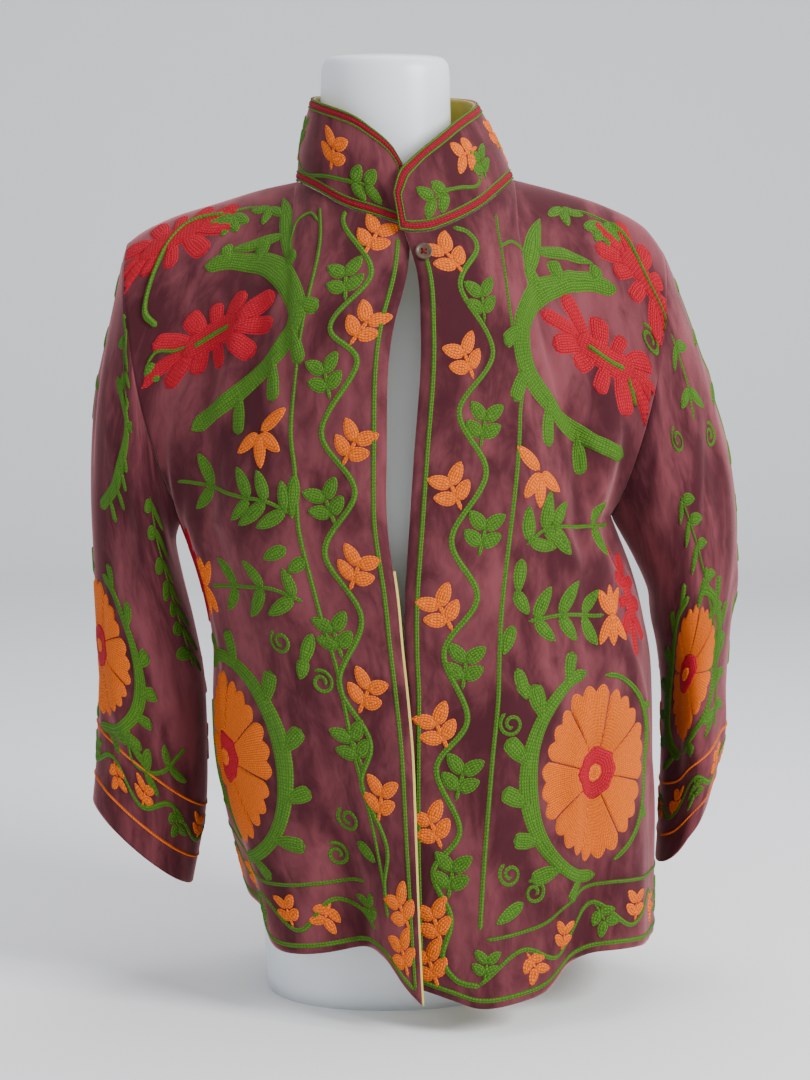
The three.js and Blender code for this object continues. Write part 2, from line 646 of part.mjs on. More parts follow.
// ---------------------------------------------------------------- the dress form
function formGeometry() {
  const points = [];
  const triangles = [];
  const size = readers(FORM, 'z');
  const heights = FORM.map((row) => row.z);
  for (const z of heights) {
    for (let side = 0; side < FORM_SIDES; side += 1) {
      const turn = (side / FORM_SIDES) * 2 * Math.PI;
      const power = 2 / size.square(z);
      const x = size.half(z) * signedPower(Math.sin(turn), power);
      const reach = Math.cos(turn) > 0 ? size.back(z) : size.front(z);
      const y = reach * signedPower(Math.cos(turn), power);
      const tilt = FORM_CAP_TILT * smoothstep(z, FORM_CAP_FROM, FORM_TOP);
      points.push(new THREE.Vector3(x, y, z + tilt * y));
    }
  }
  const foot = points.push(new THREE.Vector3(0, 0, 0)) - 1;
  const crown = points.push(new THREE.Vector3(0, 0, FORM_TOP)) - 1;
  const last = (heights.length - 1) * FORM_SIDES;
  for (let side = 0; side < FORM_SIDES; side += 1) {
    const next = (side + 1) % FORM_SIDES;
    for (let ring = 0; ring < last; ring += FORM_SIDES) {
      const [a, b] = [ring + side, ring + next];
      triangles.push([a, b, b + FORM_SIDES], [a, b + FORM_SIDES, a + FORM_SIDES]);
    }
    triangles.push([foot, next, side], [crown, last + side, last + next]);
  }
  return geometryOf(points, triangles);
}

// ---------------------------------------------------------------- button
function buttonGeometry() {
  const disc = new THREE.Shape().absarc(0, 0, BUTTON_RADIUS - BUTTON_BEVEL, 0, 2 * Math.PI);
  const offset = THREAD_HOLE_SPACING / 2;
  for (const [x, y] of [[1, 1], [1, -1], [-1, 1], [-1, -1]]) {
    const hole = new THREE.Path();
    hole.absarc(x * offset, y * offset, THREAD_HOLE_RADIUS + BUTTON_BEVEL, 0, 2 * Math.PI, true);
    disc.holes.push(hole);
  }
  return new THREE.ExtrudeGeometry(disc, {
    depth: BUTTON_DEPTH,
    bevelThickness: BUTTON_BEVEL,
    bevelSize: BUTTON_BEVEL,
    bevelSegments: 1,
    curveSegments: 12,
  });
}

// The panel's column and row under a point seen from the front.
function findOnPanel(surface, x, z) {
  let [u, v] = [0.1, 0.9];
  for (let i = 0; i < 40; i += 1) {
    const step = 1e-3;
    const here = surface(u, v);
    const across = surface(u + step, v).sub(here).divideScalar(step);
    const up = surface(u, v + step).sub(here).divideScalar(step);
    const [dx, dz] = [x - here.x, z - here.z];
    const scale = across.x * up.z - across.z * up.x;
    u += clamp((dx * up.z - dz * up.x) / scale, -0.05, 0.05);
    v += clamp((across.x * dz - across.z * dx) / scale, -0.05, 0.05);
  }
  return [u, v];
}

// ---------------------------------------------------------------- materials and meshes
const velvet = { color: 0x5e2a34, roughness: 0.85, metalness: 0 };
const liningCloth = { color: 0xc9b53a, roughness: 0.7, metalness: 0 };
const coconut = { color: 0x6b4a34, roughness: 0.45, metalness: 0 };
const shell = { color: 0xdfe3e6, roughness: 0.4, metalness: 0 };

const jacket = new THREE.Group();

function add(name, geometry, look) {
  const mesh = new THREE.Mesh(geometry, new THREE.MeshStandardMaterial(look));
  mesh.name = name;
  jacket.add(mesh);
  return mesh;
}

add('dress_form', formGeometry(), shell);

for (const [name, panel] of Object.entries(PANELS)) {
  const { surface, facing } = bodyPanel(name);
  const isBack = panel.side === 'back';
  add(name, wall(surface, {
    from: isBack ? -1 : 0,
    columns: isBack ? 2 * PANEL_COLUMNS : PANEL_COLUMNS,
    rows: PANEL_ROWS,
    thick: VELVET,
    facing,
    edgeNormal: panelEdgeNormal(panel),
  }), velvet);
}

for (const [side, way] of [['left', -1], ['right', 1]]) {
  const { surface, facing } = sleeve(way);
  add(`sleeve_${side}`, wall(surface, {
    columns: SLEEVE_COLUMNS,
    rows: SLEEVE_ROWS,
    thick: VELVET,
    facing,
    round: true,
    edgeNormal: (u, v) => (v > 0 ? undefined : armholes[side](u).sleeve),
  }), velvet);
}

add('collar', wall(collarSurface, {
  columns: COLLAR_COLUMNS, rows: COLLAR_ROWS, thick: VELVET, facing: -1,
}), velvet);
add('collar_lining', wall(collarSurface, {
  columns: COLLAR_COLUMNS,
  rows: COLLAR_ROWS,
  thick: LINING,
  lift: -(VELVET + SEAM),
  facing: -1,
}), liningCloth);

// The strip behind the left front spans its first column's chord, a little past its edge.
const leftFront = bodyPanel('front_left');
add('facing_left', wall((u, v) => {
  const edge = leftFront.surface(0, v * FACING_SHARE);
  return edge.lerp(leftFront.surface(1 / PANEL_COLUMNS, v * FACING_SHARE), u);
}, {
  from: -FACING_SHOWS,
  to: FACING_WIDTH,
  columns: 1,
  rows: FACING_ROWS,
  thick: LINING,
  lift: -(VELVET + 2 * SEAM),
  edgeNormal: (u, v) => {
    const row = v * FACING_SHARE;
    const edge = normalOf(leftFront.surface, 0, row, leftFront.facing);
    const column = normalOf(leftFront.surface, 1 / PANEL_COLUMNS, row, leftFront.facing);
    return edge.lerp(column, u).normalize();
  },
}), liningCloth);

const rightFront = bodyPanel('front_right');
const [buttonU, buttonV] = findOnPanel(rightFront.surface, BUTTON_X, BUTTON_Z);
const button = add('button', buttonGeometry(), coconut);
const buttonNormal = normalOf(rightFront.surface, buttonU, buttonV, rightFront.facing);
button.quaternion.setFromUnitVectors(new THREE.Vector3(0, 0, 1), buttonNormal);
button.position
  .copy(rightFront.surface(buttonU, buttonV))
  .addScaledVector(buttonNormal, BUTTON_BEVEL + SEAM);

export default jacket;
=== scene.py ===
"""A velvet kimono jacket, embroidered in chain stitch, on a limbless dress form.

Sizes in the tables are millimetres and everything that Blender gets is in metres.
The jacket's front faces -Y, +Z is up and +X is the viewer's right.
"""

import math

import bpy
import numpy as np
from bpy.props import FloatProperty, FloatVectorProperty, PointerProperty
from mathutils import Matrix, Vector
from mathutils.kdtree import KDTree


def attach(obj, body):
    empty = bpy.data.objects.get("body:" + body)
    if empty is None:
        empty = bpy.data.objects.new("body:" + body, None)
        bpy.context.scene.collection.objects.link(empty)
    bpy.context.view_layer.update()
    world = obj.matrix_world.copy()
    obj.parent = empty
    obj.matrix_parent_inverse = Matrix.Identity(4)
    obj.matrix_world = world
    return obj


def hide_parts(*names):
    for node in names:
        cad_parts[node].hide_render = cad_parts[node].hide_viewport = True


bl_info = {
    "name": "Velvet Kimono Jacket",
    "version": (1, 0, 0),
    "blender": (4, 5, 0),
    "location": "View3D > Sidebar > Jacket",
    "description": "An embroidered velvet jacket on a dress form",
    "category": "Add Mesh",
}

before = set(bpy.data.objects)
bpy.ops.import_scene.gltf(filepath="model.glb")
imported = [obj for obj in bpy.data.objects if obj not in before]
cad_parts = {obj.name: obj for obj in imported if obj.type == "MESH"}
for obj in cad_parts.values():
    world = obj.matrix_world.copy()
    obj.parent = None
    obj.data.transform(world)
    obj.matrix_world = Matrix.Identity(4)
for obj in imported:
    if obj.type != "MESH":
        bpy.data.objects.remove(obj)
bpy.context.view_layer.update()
MM = 0.001

# ------------------------------------------------------------------ driving dimensions
VELVET = 2.0  # the velvet with its lining, as one wall
LINING = 1.0  # the lining where it shows alone
ARMPIT = 433  # height of both armpits
HEM_LEVEL = 60  # height at which the hem's outline is read
NECK_LEVEL = 700  # height where the front edges meet the neckline
NECK_CENTRE = 18  # middle of the neckline, across
NECK_HALF = 99  # half the neckline's width, shoulder to shoulder
NECK_FRONT = 100  # how far the neckline reaches forwards
NECK_BACK = 62  # and backwards
ARMHOLE_HALF_DEPTH = 62  # half the armhole, front to back
SHOULDER_ROUND = 2.4  # higher is squarer over the shoulder
ARMHOLE_EASE = 1.9  # how fast the armhole leaves the side seam
ROW_EASE = 1.4  # above 1, rows are closer together near the armpit
CORNER_EASE = 0.6  # how much columns crowd at the corner of neckline and shoulder
CORNER_REACH = 0.16  # share of a panel over which that corner rounds off below
CORNER_ROUND_FROM = 0.2  # share of the upper rows where that rounding is still whole
CHEST_ROUND = 0.5  # how much of the armhole's round the middle of the chest has
CHEST_ROUND_TO = 0.3  # share of a panel, from its middle, that is that flat
EDGE_REACH = 0.35  # share of a front that its loose edge bends
SIDE_SEAM_HOLD = 8  # higher lets a fold run closer to the side seam before it ends
TOP_SEAM_HOLD = 4  # the same at the shoulder seam and the neckline
SLEEVE_HEAD_HOLD = 0.12  # share of a sleeve, from the armhole, where folds grow
NECK_SHARE = 5 / 12  # share of a panel's columns that end at the neckline
ARMPIT_SHARE = 0.5  # share of a panel's rows below the armpit
FACING_SHARE = 10 / 22  # share of the left front's rows that the facing runs up
FACING_WIDTH = 1 / 12  # its width, as a share of the panel
FACING_SHOWS = 0.005  # how far it passes the velvet's edge, as a share of the panel
FACING_BEHIND = 0.1  # gap between the facing and the velvet before it
COLLAR_LINING_BEHIND = 0.05  # the same inside the collar
SHOULDER_TIPS = {-1: -236, 1: 255}  # outer end of each shoulder
VIEW_X, VIEW_Z, VIEW_DISTANCE = 18, 603, 2000  # the camera's place before the middle plane


class Table:
    """Rows of named columns, each column a smooth curve along the first one."""

    def __init__(self, names, rows):
        self.names = names.split()
        self.rows = np.array(rows, float)

    def read(self, name, at):
        x, y = self.rows[:, 0], self.rows[:, self.names.index(name)]
        last = len(x) - 1
        before = np.maximum(np.arange(last + 1) - 1, 0)
        after = np.minimum(np.arange(last + 1) + 1, last)
        slopes = (y[after] - y[before]) / (x[after] - x[before])
        i = np.clip(np.searchsorted(x, at, side="left") - 1, 0, last - 1)
        span = x[i + 1] - x[i]
        t = np.clip((at - x[i]) / span, 0, 1)
        start = (2 * t**3 - 3 * t**2 + 1) * y[i] + (t**3 - 2 * t**2 + t) * span * slopes[i]
        return start + (3 * t**2 - 2 * t**3) * y[i + 1] + (t**3 - t**2) * span * slopes[i + 1]


BODY = Table("z centre half front back square", [
    (20, 63, 184, 166, 150, 2.3),
    (60, 62, 186, 164, 150, 2.3),
    (110, 57, 191, 160, 148, 2.3),
    (160, 50, 197, 156, 146, 2.35),
    (210, 45, 201, 152, 143, 2.35),
    (265, 43, 202, 149, 140, 2.4),
    (320, 41, 200, 146, 136, 2.4),
    (375, 30, 199, 143, 132, 2.4),
    (433, 10, 197, 140, 128, 2.4),
])
EDGES = Table("z left right left_out right_out", [
    (25, 34, 25, 16, -4),
    (76, 31, 24, 13, -4),
    (161, 27, 21, 10, -3),
    (237, 24, 20, 8, -2),
    (288, 19.6, 20, 6, -1),
    (331, 15, 18, 4, 0),
    (373, 11, 18, 2, 0),
    (438, 2.5, 22, 0, 0),
    (500, 2.5, 26, 0, 0),
    (565, 3.4, 31, 0, 0),
    (604, 8, 31.5, 0, 0.8),
    (650, 19.6, 28.6, -2, 3),
    (690, 24, 16, -5, 6),
])
HEMS = {
    "left": Table("x z", [
        (-124, 94), (-110, 78), (-90, 62), (-70, 61), (-16, 69), (3, 64), (20, 42), (34, 27),
    ]),
    "right": Table("x z", [
        (25, 40), (59, 31), (80, 25), (105, 26), (140, 34), (162, 50), (185, 60), (214, 60),
        (246, 54),
    ]),
    "back": Table("x z", [(-124, 94), (-60, 72), (20, 58), (120, 50), (200, 57), (246, 54)]),
}
NECKLINES = {
    "left": Table("x z", [(-81, 738), (-60, 727), (-35, 713), (-10, 705), (13, 698), (27, 694)]),
    "right": Table("x z", [(11, 687), (25, 685), (48, 689), (84, 708), (105, 727), (117, 740)]),
    "back": Table("x z", [(-81, 738), (-50, 748), (18, 757), (86, 750), (117, 740)]),
}
SHOULDERS = {
    -1: Table("x z", [
        (-236, 683), (-216, 696), (-189, 708), (-156, 718), (-113, 731), (-81, 738),
    ]),
    1: Table("x z", [(117, 740), (160, 729), (198, 717), (235, 698), (255, 674)]),
}
FOLDS = "at wide z tall out lean"
PANEL_FOLDS = {
    "left": Table(FOLDS, [
        (0.19, 0.08, 20, 190, -24, 0.0001),
        (0.47, 0.15, 10, 230, 12, 0.0002),
        (0.76, 0.1, 60, 170, -9, 0.0003),
        (0.84, 0.1, 505, 60, 9, -0.001),
        (0.6, 0.12, 400, 90, -5, 0.001),
    ]),
    "right": Table(FOLDS, [
        (0.14, 0.1, 20, 200, 12, 0.0001),
        (0.42, 0.08, 30, 150, -15, 0.0003),
        (0.66, 0.13, 40, 220, 8, 0.0002),
        (0.8, 0.09, 500, 42, 15, 0.001),
        (0.82, 0.08, 415, 34, -10, 0.001),
    ]),
    "back": Table(FOLDS, [
        (-0.62, 0.1, 20, 260, 12, 0.0002),
        (-0.36, 0.09, 20, 300, -11, 0.0001),
        (-0.08, 0.1, 10, 320, 12, 0),
        (0.2, 0.09, 20, 280, -12, 0),
        (0.46, 0.1, 10, 300, 12, -0.0001),
        (0.72, 0.1, 40, 220, -10, -0.0002),
        (0.05, 0.3, 640, 60, 5, 0),
    ]),
}
RINGS = "outer_x outer_z inner_x inner_z middle_y depth"
SLEEVE_RINGS = {
    -1: Table(RINGS, [
        (-252, 615, -194, 406, 4, 64),
        (-267, 545, -188, 374, 6, 65),
        (-272, 465, -178, 332, 8, 63),
        (-270, 385, -169, 283, 9, 60),
        (-266, 305, -166, 225, 8, 57),
        (-265, 238, -167, 160, 4, 54),
        (-271, 171, -179, 92, -2, 51),
    ]),
    1: Table(RINGS, [
        (279, 612, 229, 394, 6, 64),
        (300, 554, 243, 362, 10, 64),
        (319, 484, 251, 324, 14, 62),
        (326, 408, 256, 280, 18, 59),
        (322, 342, 257, 234, 20, 57),
        (317, 280, 257, 190, 20, 55),
        (315, 224, 256, 150, 18, 53),
        (301, 172, 253, 108, 15, 51),
    ]),
}
SLEEVE_FOLDS = {
    -1: Table("turn spread along run out twist", [
        (70, 26, 0.45, 0.16, -8, -120),
        (120, 22, 0.3, 0.14, 6, -80),
        (60, 20, 0.75, 0.1, 5, 60),
        (250, 26, 0.5, 0.2, -8, 100),
        (300, 24, 0.7, 0.16, 5, -60),
    ]),
    1: Table("turn spread along run out twist", [
        (100, 20, 0.6, 0.26, 9, -70),
        (145, 24, 0.66, 0.24, -8, -60),
        (50, 22, 0.33, 0.1, -6, 90),
        (240, 26, 0.45, 0.2, -8, -90),
        (290, 24, 0.72, 0.16, 6, 60),
    ]),
}
COLLAR_TOP = Table("turn z", [
    (-186, 746), (-180, 764), (-165, 781), (-150, 793), (-120, 806), (-90, 815), (-45, 821),
    (0, 823), (45, 819), (90, 811), (115, 800), (130, 790), (145, 777), (160, 763),
    (172, 750), (179, 740), (184, 722),
])
COLLAR_ENDS = (-185, 183.5)  # where it ends, by turn about the neck
COLLAR_CENTRE = 6  # middle of its upper ring, across
COLLAR_HALF = 73  # half that ring's width
COLLAR_FRONT = 88  # how far the ring reaches forwards
COLLAR_BACK = 60  # and backwards
COLLAR_BULGE = 3
COLLAR_TUCKS_IN = 5  # how far the left end lies inside the ring
COLLAR_STANDS_OUT = 4  # how far the right end lies outside it
COLLAR_ENDS_FROM = 120  # turn from which the ends leave the ring
COLLAR_HEIGHT = 76  # the ring's height above the neckline
COLLAR_SEAM_LIFT = 0.6

# Finer creases: how many, how deep, how wide and how long, by piece.
CREASES = {
    "front_left": (20, 4.4, 15, 150),
    "front_right": (20, 4.4, 15, 150),
    "back": (36, 4.0, 16, 150),
    "sleeve_left": (30, 3.4, 11, 50),
    "sleeve_right": (30, 3.4, 11, 50),
}
SEAM_GROOVE = 0.9
SEAM_GROOVE_REACH = 0.012


# ------------------------------------------------------------------ small helpers
def lerp(a, b, t):
    return a + (b - a) * t


def smoothstep(x, low, high):
    t = np.clip((x - low) / (high - low), 0, 1)
    return t * t * (3 - 2 * t)


def bell(distance, reach):
    return np.exp(-((distance / reach) ** 2))


def signed_power(value, power):
    return np.sign(value) * np.abs(value) ** power


def stack(x, y, z):
    return np.stack(np.broadcast_arrays(x, y, z), axis=-1).astype(float)


def unit(vectors):
    return vectors / np.maximum(np.linalg.norm(vectors, axis=-1, keepdims=True), 1e-9)


def normals(surface, u, v, facing):
    """Unit normals of a surface, by small steps either way."""
    step = 1e-3
    across = surface(u + step, v) - surface(u - step, v)
    up = surface(u, v + step) - surface(u, v - step)
    return unit(np.cross(across, up)) * facing


# ------------------------------------------------------------------ the jacket's body
class Panel:
    """One body panel. `way` is -1 or 1 on a front and 0 on the back."""

    def __init__(self, side, way, face, depth, neck_reach):
        self.side, self.way, self.face, self.depth = side, way, face, depth
        self.neck_reach = neck_reach
        self.facing = 1 if side == "right" else -1
        self.low = -0.05 if way else -1

    def angle(self, u, z):
        if not self.way:
            return u * math.pi / 2
        edge = EDGES.read(self.side, z)
        offset = (edge - BODY.read("centre", z)) / BODY.read("half", z)
        start = np.arcsin(signed_power(offset, BODY.read("square", z) / 2))
        return lerp(start, self.way * math.pi / 2, u)

    def ring(self, u, z):
        angle = self.angle(u, z)
        power = 2 / BODY.read("square", z)
        x = BODY.read("centre", z) + BODY.read("half", z) * signed_power(np.sin(angle), power)
        depth = BODY.read(self.depth, z) * np.maximum(np.cos(angle), 0) ** power
        return stack(x, self.face * depth, z)

    def top(self, u):
        way = self.way if self.way else np.where(u < 0, -1.0, 1.0)
        share = u if self.way else np.abs(u)
        part = share / NECK_SHARE
        start = 0
        if self.way:
            start = (EDGES.read(self.side, NECK_LEVEL) - NECK_CENTRE) / NECK_HALF
        along = part + CORNER_EASE * (part - part**2)
        turn = lerp(np.arcsin(start * way), math.pi / 2, along)
        x = NECK_CENTRE + way * NECK_HALF * np.sin(turn)
        reach = self.face * self.neck_reach * np.cos(turn)
        neck = stack(x, reach, NECKLINES[self.side].read("z", x))
        part = (share - NECK_SHARE) / (1 - NECK_SHARE)
        along = part - CORNER_EASE * (part - part**2)
        tip = np.where(way < 0, SHOULDER_TIPS[-1], SHOULDER_TIPS[1])
        x = lerp(NECK_CENTRE + way * NECK_HALF, tip, along)
        height = np.where(way < 0, SHOULDERS[-1].read("z", x), SHOULDERS[1].read("z", x))
        shoulder = stack(x, 0 * x, height)
        return np.where((share <= NECK_SHARE)[..., None], neck, shoulder)

    def rounded_top(self, u, v):
        share = np.abs(u)
        reach = np.minimum(CORNER_REACH, 1 - share)
        if self.way:
            reach = np.minimum(reach, share)
        reach = np.maximum(reach, 0)
        top = self.top(u)
        mean = sum(self.top(u + step * reach) for step in (-1, -0.5, 0, 0.5, 1)) / 5
        return lerp(mean, top, smoothstep(v, CORNER_ROUND_FROM, 1)[..., None])

    def upper(self, u, v):
        low = self.ring(u, np.full_like(u, ARMPIT))
        top = self.rounded_top(u, v)
        low_depth = np.maximum(np.abs(low[..., 1]), 1e-6)
        top_angle = np.arccos(np.clip(np.abs(top[..., 1]) / low_depth, 0, 1))
        angle = v**ROW_EASE * top_angle
        k = np.clip((np.sin(angle) / np.sin(top_angle)) ** (2 / SHOULDER_ROUND), 0, 1)
        z = lerp(ARMPIT, top[..., 2], k)
        ease = 1 - (1 - k) ** ARMHOLE_EASE
        x = lerp(low[..., 0], top[..., 0], ease)
        if self.way:
            edge_low, edge_top = EDGES.read(self.side, np.array([ARMPIT, NECK_LEVEL]))
            plain = lerp(edge_low, edge_top, ease)
            x = x + (EDGES.read(self.side, z) - plain) * (1 - np.clip(u, 0, 1)) ** 2
        sideways = lerp(CHEST_ROUND, 1, smoothstep(np.abs(u), CHEST_ROUND_TO, 1))
        rounding = sideways * ARMHOLE_HALF_DEPTH * 2 * np.sqrt(k * (1 - k))
        return stack(x, self.face * np.hypot(low_depth * np.cos(angle), rounding), z)

    def lower(self, u, v):
        hem = HEMS[self.side].read("z", self.ring(u, np.full_like(u, HEM_LEVEL))[..., 0])
        return self.ring(u, lerp(hem, ARMPIT, v))

    def plain(self, u, v):
        u, v = np.clip(u, self.low, 1), np.clip(v, 0, 1)
        below = self.lower(u, np.clip(v / ARMPIT_SHARE, 0, 1))
        above = self.upper(u, np.clip((v - ARMPIT_SHARE) / (1 - ARMPIT_SHARE), 0, 1))
        return np.where((v <= ARMPIT_SHARE)[..., None], below, above)

    def folded(self, u, v):
        """The panel with its folds, its loose front edge and a groove along its seams."""
        u, v = np.clip(u, self.low, 1), np.clip(v, 0, 1)
        point = self.plain(u, v)
        z = point[..., 2]
        upper = np.maximum(0, (v - ARMPIT_SHARE) / (1 - ARMPIT_SHARE))
        hold = (1 - np.minimum(np.abs(u), 1) ** SIDE_SEAM_HOLD) * (1 - upper**TOP_SEAM_HOLD)
        out = 0
        for at, wide, deep_z, tall, height, lean in PANEL_FOLDS[self.side].rows:
            centre = at + lean * (z - deep_z)
            out = out + height * bell(u - centre, wide) * bell(z - deep_z, tall)
        fine = creases(f"front_{self.side}" if self.way else "back", u, v)
        out = (out + fine * (1 - smoothstep(v, *CREASES_FADE))) * hold
        if self.way:
            out = out + EDGES.read(f"{self.side}_out", z) * (1 - smoothstep(u, 0, EDGE_REACH))
        out = out - SEAM_GROOVE * bell(1 - np.abs(u), SEAM_GROOVE_REACH)
        normal = normals(self.plain, u, v, self.facing)
        return point + normal * out[..., None]


PANELS = {
    "front_left": Panel("left", -1, -1, "front", NECK_FRONT),
    "front_right": Panel("right", 1, -1, "front", NECK_FRONT),
    "back": Panel("back", 0, 1, "back", NECK_BACK),
}
PIECE_WIDTH = {
    "front_left": 300, "front_right": 330, "back": 300, "sleeve_left": 350, "sleeve_right": 350,
}
PIECE_LENGTH = 720
CREASES_FADE = (0.7, 0.9)  # share of a panel's rows over which its fine creases end
_crease_sets = {}


def creases(name, u, v):
    """Fine soft creases, uneven in length, depth and spacing, the same on every run."""
    count, depth, wide, long = CREASES[name]
    width, length = PIECE_WIDTH[name], PIECE_LENGTH
    if name not in _crease_sets:
        rng = np.random.default_rng(sum(map(ord, name)))
        _crease_sets[name] = [
            (rng.uniform(-1 if name == "back" else 0, 1) * width, rng.beta(1.1, 1.3) * length,
             rng.normal(0, 0.28), rng.uniform(0.4, 1) * depth * rng.choice([-1, 1]),
             rng.uniform(0.7, 1.6) * wide, rng.uniform(0.5, 1.6) * long)
            for _ in range(count)
        ]
    a, b = u * width, v * length
    total = 0
    for x, y, slant, height, across, along in _crease_sets[name]:
        da, db = a - x, b - y
        sideways = da * math.cos(slant) - db * math.sin(slant)
        lengthways = da * math.sin(slant) + db * math.cos(slant)
        total = total + height * bell(sideways, across) * bell(lengthways, along)
    return total


# ------------------------------------------------------------------ sleeves
def armhole_rise(v):
    upper = np.clip((v - ARMPIT_SHARE) / (1 - ARMPIT_SHARE), 0, 1)
    return np.sin(upper**ROW_EASE * math.pi / 2) ** (2 / SHOULDER_ROUND)


def sleeve_turn(u):
    lap = np.floor(u)
    part = u - lap
    row = lerp(ARMPIT_SHARE, 1, np.abs(1 - 2 * part))
    turn = np.arccos(np.clip(2 * armhole_rise(row) - 1, -1, 1))
    return lap * 2 * math.pi + np.where(part <= 0.5, turn, 2 * math.pi - turn)


def armhole(way, turn):
    panel = PANELS["front_left" if way < 0 else "front_right"]
    k = (1 + np.cos(turn)) / 2
    one = np.ones_like(turn)
    low, top = panel.ring(one, ARMPIT * one), panel.top(one)
    x = lerp(low[..., 0], top[..., 0], 1 - (1 - k) ** ARMHOLE_EASE)
    return stack(x, -ARMHOLE_HALF_DEPTH * np.sin(turn), lerp(ARMPIT, top[..., 2], k))


class Sleeve:
    """A sleeve from its armhole to its cuff; u goes round from the outer edge over the front."""

    def __init__(self, name, way):
        self.name, self.way, self.facing = name, way, way

    def plain(self, u, v):
        turn = sleeve_turn(u)
        rings = [armhole(self.way, turn)]
        for outer_x, outer_z, inner_x, inner_z, middle_y, depth in SLEEVE_RINGS[self.way].rows:
            rings.append(stack(
                (outer_x + inner_x) / 2 + (outer_x - inner_x) / 2 * np.cos(turn),
                middle_y - depth * np.sin(turn),
                (outer_z + inner_z) / 2 + (outer_z - inner_z) / 2 * np.cos(turn),
            ))
        rings = np.array(rings)
        last = len(rings) - 1
        place = np.clip(v, 0, 1) * last
        i = np.minimum(np.floor(place).astype(int), last - 1)
        t = (place - i)[..., None]
        each = np.arange(len(turn))
        start, end = rings[i, each], rings[i + 1, each]
        before, after = rings[np.maximum(i - 1, 0), each], rings[np.minimum(i + 2, last), each]
        start_slope = (end - before) * np.where(i > 0, 0.5, 1)[..., None]
        end_slope = (after - start) * np.where(i + 2 > last, 1, 0.5)[..., None]
        return (
            start * (2 * t**3 - 3 * t**2 + 1) + start_slope * (t**3 - 2 * t**2 + t)
            + end * (3 * t**2 - 2 * t**3) + end_slope * (t**3 - t**2)
        )

    def folded(self, u, v):
        turn = np.degrees(sleeve_turn(u))
        out = 0
        for centre, spread, along, run, height, twist in SLEEVE_FOLDS[self.way].rows:
            away = (turn - centre - twist * (v - along) + 180) % 360 - 180
            out = out + height * bell(away, spread) * bell(v - along, run)
        part = u - np.floor(u)
        wrapped = creases(self.name, part, v) + creases(self.name, part - 1, v)
        out = (out + wrapped) * smoothstep(v, 0, SLEEVE_HEAD_HOLD)
        out = out - SEAM_GROOVE * bell(v, SEAM_GROOVE_REACH)
        return self.plain(u, v) + normals(self.plain, u, v, self.way) * out[..., None]


SLEEVES = {"sleeve_left": Sleeve("sleeve_left", -1), "sleeve_right": Sleeve("sleeve_right", 1)}


# ------------------------------------------------------------------ collar
def column_share(along):
    grow = 1 + CORNER_EASE
    inside = np.maximum(grow**2 - 4 * CORNER_EASE * along, 0)
    eased = (grow - np.sqrt(inside)) / (2 * CORNER_EASE)
    return np.where(along < 0, along / grow, eased)


def collar_root(turn):
    """The neckline point that the collar is sewn to, by turn about the neck."""
    one = np.ones_like(turn)
    share = np.sign(turn) * column_share(np.abs(turn) / 90) * NECK_SHARE
    root = PANELS["back"].folded(np.clip(share, -NECK_SHARE, NECK_SHARE), one)
    for name, way in (("front_left", -1), ("front_right", 1)):
        panel = PANELS[name]
        edge = EDGES.read(panel.side, NECK_LEVEL)
        edge_turn = math.asin(way * (edge - NECK_CENTRE) / NECK_HALF)
        along = (np.radians(180 - np.abs(turn)) - edge_turn) / (math.pi / 2 - edge_turn)
        front = panel.folded(column_share(along) * NECK_SHARE, one)
        root = np.where((turn * way > 90)[..., None], front, root)
    return root


class Collar:
    """The stand collar, from its left end to its right end over the back."""

    facing = -1

    def folded(self, u, v):
        turn = lerp(COLLAR_ENDS[0], COLLAR_ENDS[1], np.clip(u, 0, 1))
        sine, cosine = np.sin(np.radians(turn)), np.cos(np.radians(turn))
        root = collar_root(turn)
        root[..., 2] += COLLAR_SEAM_LIFT
        height = COLLAR_TOP.read("z", turn) - root[..., 2]
        ends = smoothstep(np.abs(turn), COLLAR_ENDS_FROM, 180)
        out = np.where(turn < 0, -COLLAR_TUCKS_IN, COLLAR_STANDS_OUT) * ends
        reach = np.where(cosine > 0, COLLAR_BACK, COLLAR_FRONT) + out
        full = stack(
            COLLAR_CENTRE + (COLLAR_HALF + out) * sine, cosine * reach,
            root[..., 2] + COLLAR_HEIGHT,
        )
        rise = np.clip(v, 0, 1) * height / COLLAR_HEIGHT
        bulge = COLLAR_BULGE * np.sin(np.minimum(rise, 1) * math.pi)
        return lerp(root, full, rise[..., None]) + stack(bulge * sine, bulge * cosine, 0)


COLLAR = Collar()


# ------------------------------------------------------------------ cloths
CHART, SHOWN = 6, 8  # first layer of the cloth coordinates, and of where a place shows
FIND_ROUNDS = 14
LONGEST_STEP = 12  # grid cells
ON_CLOTH = 0.6  # a place found within this of the one that was asked for is on the cloth
FACES_VIEW = -0.02  # a normal's y, below which the cloth faces the camera


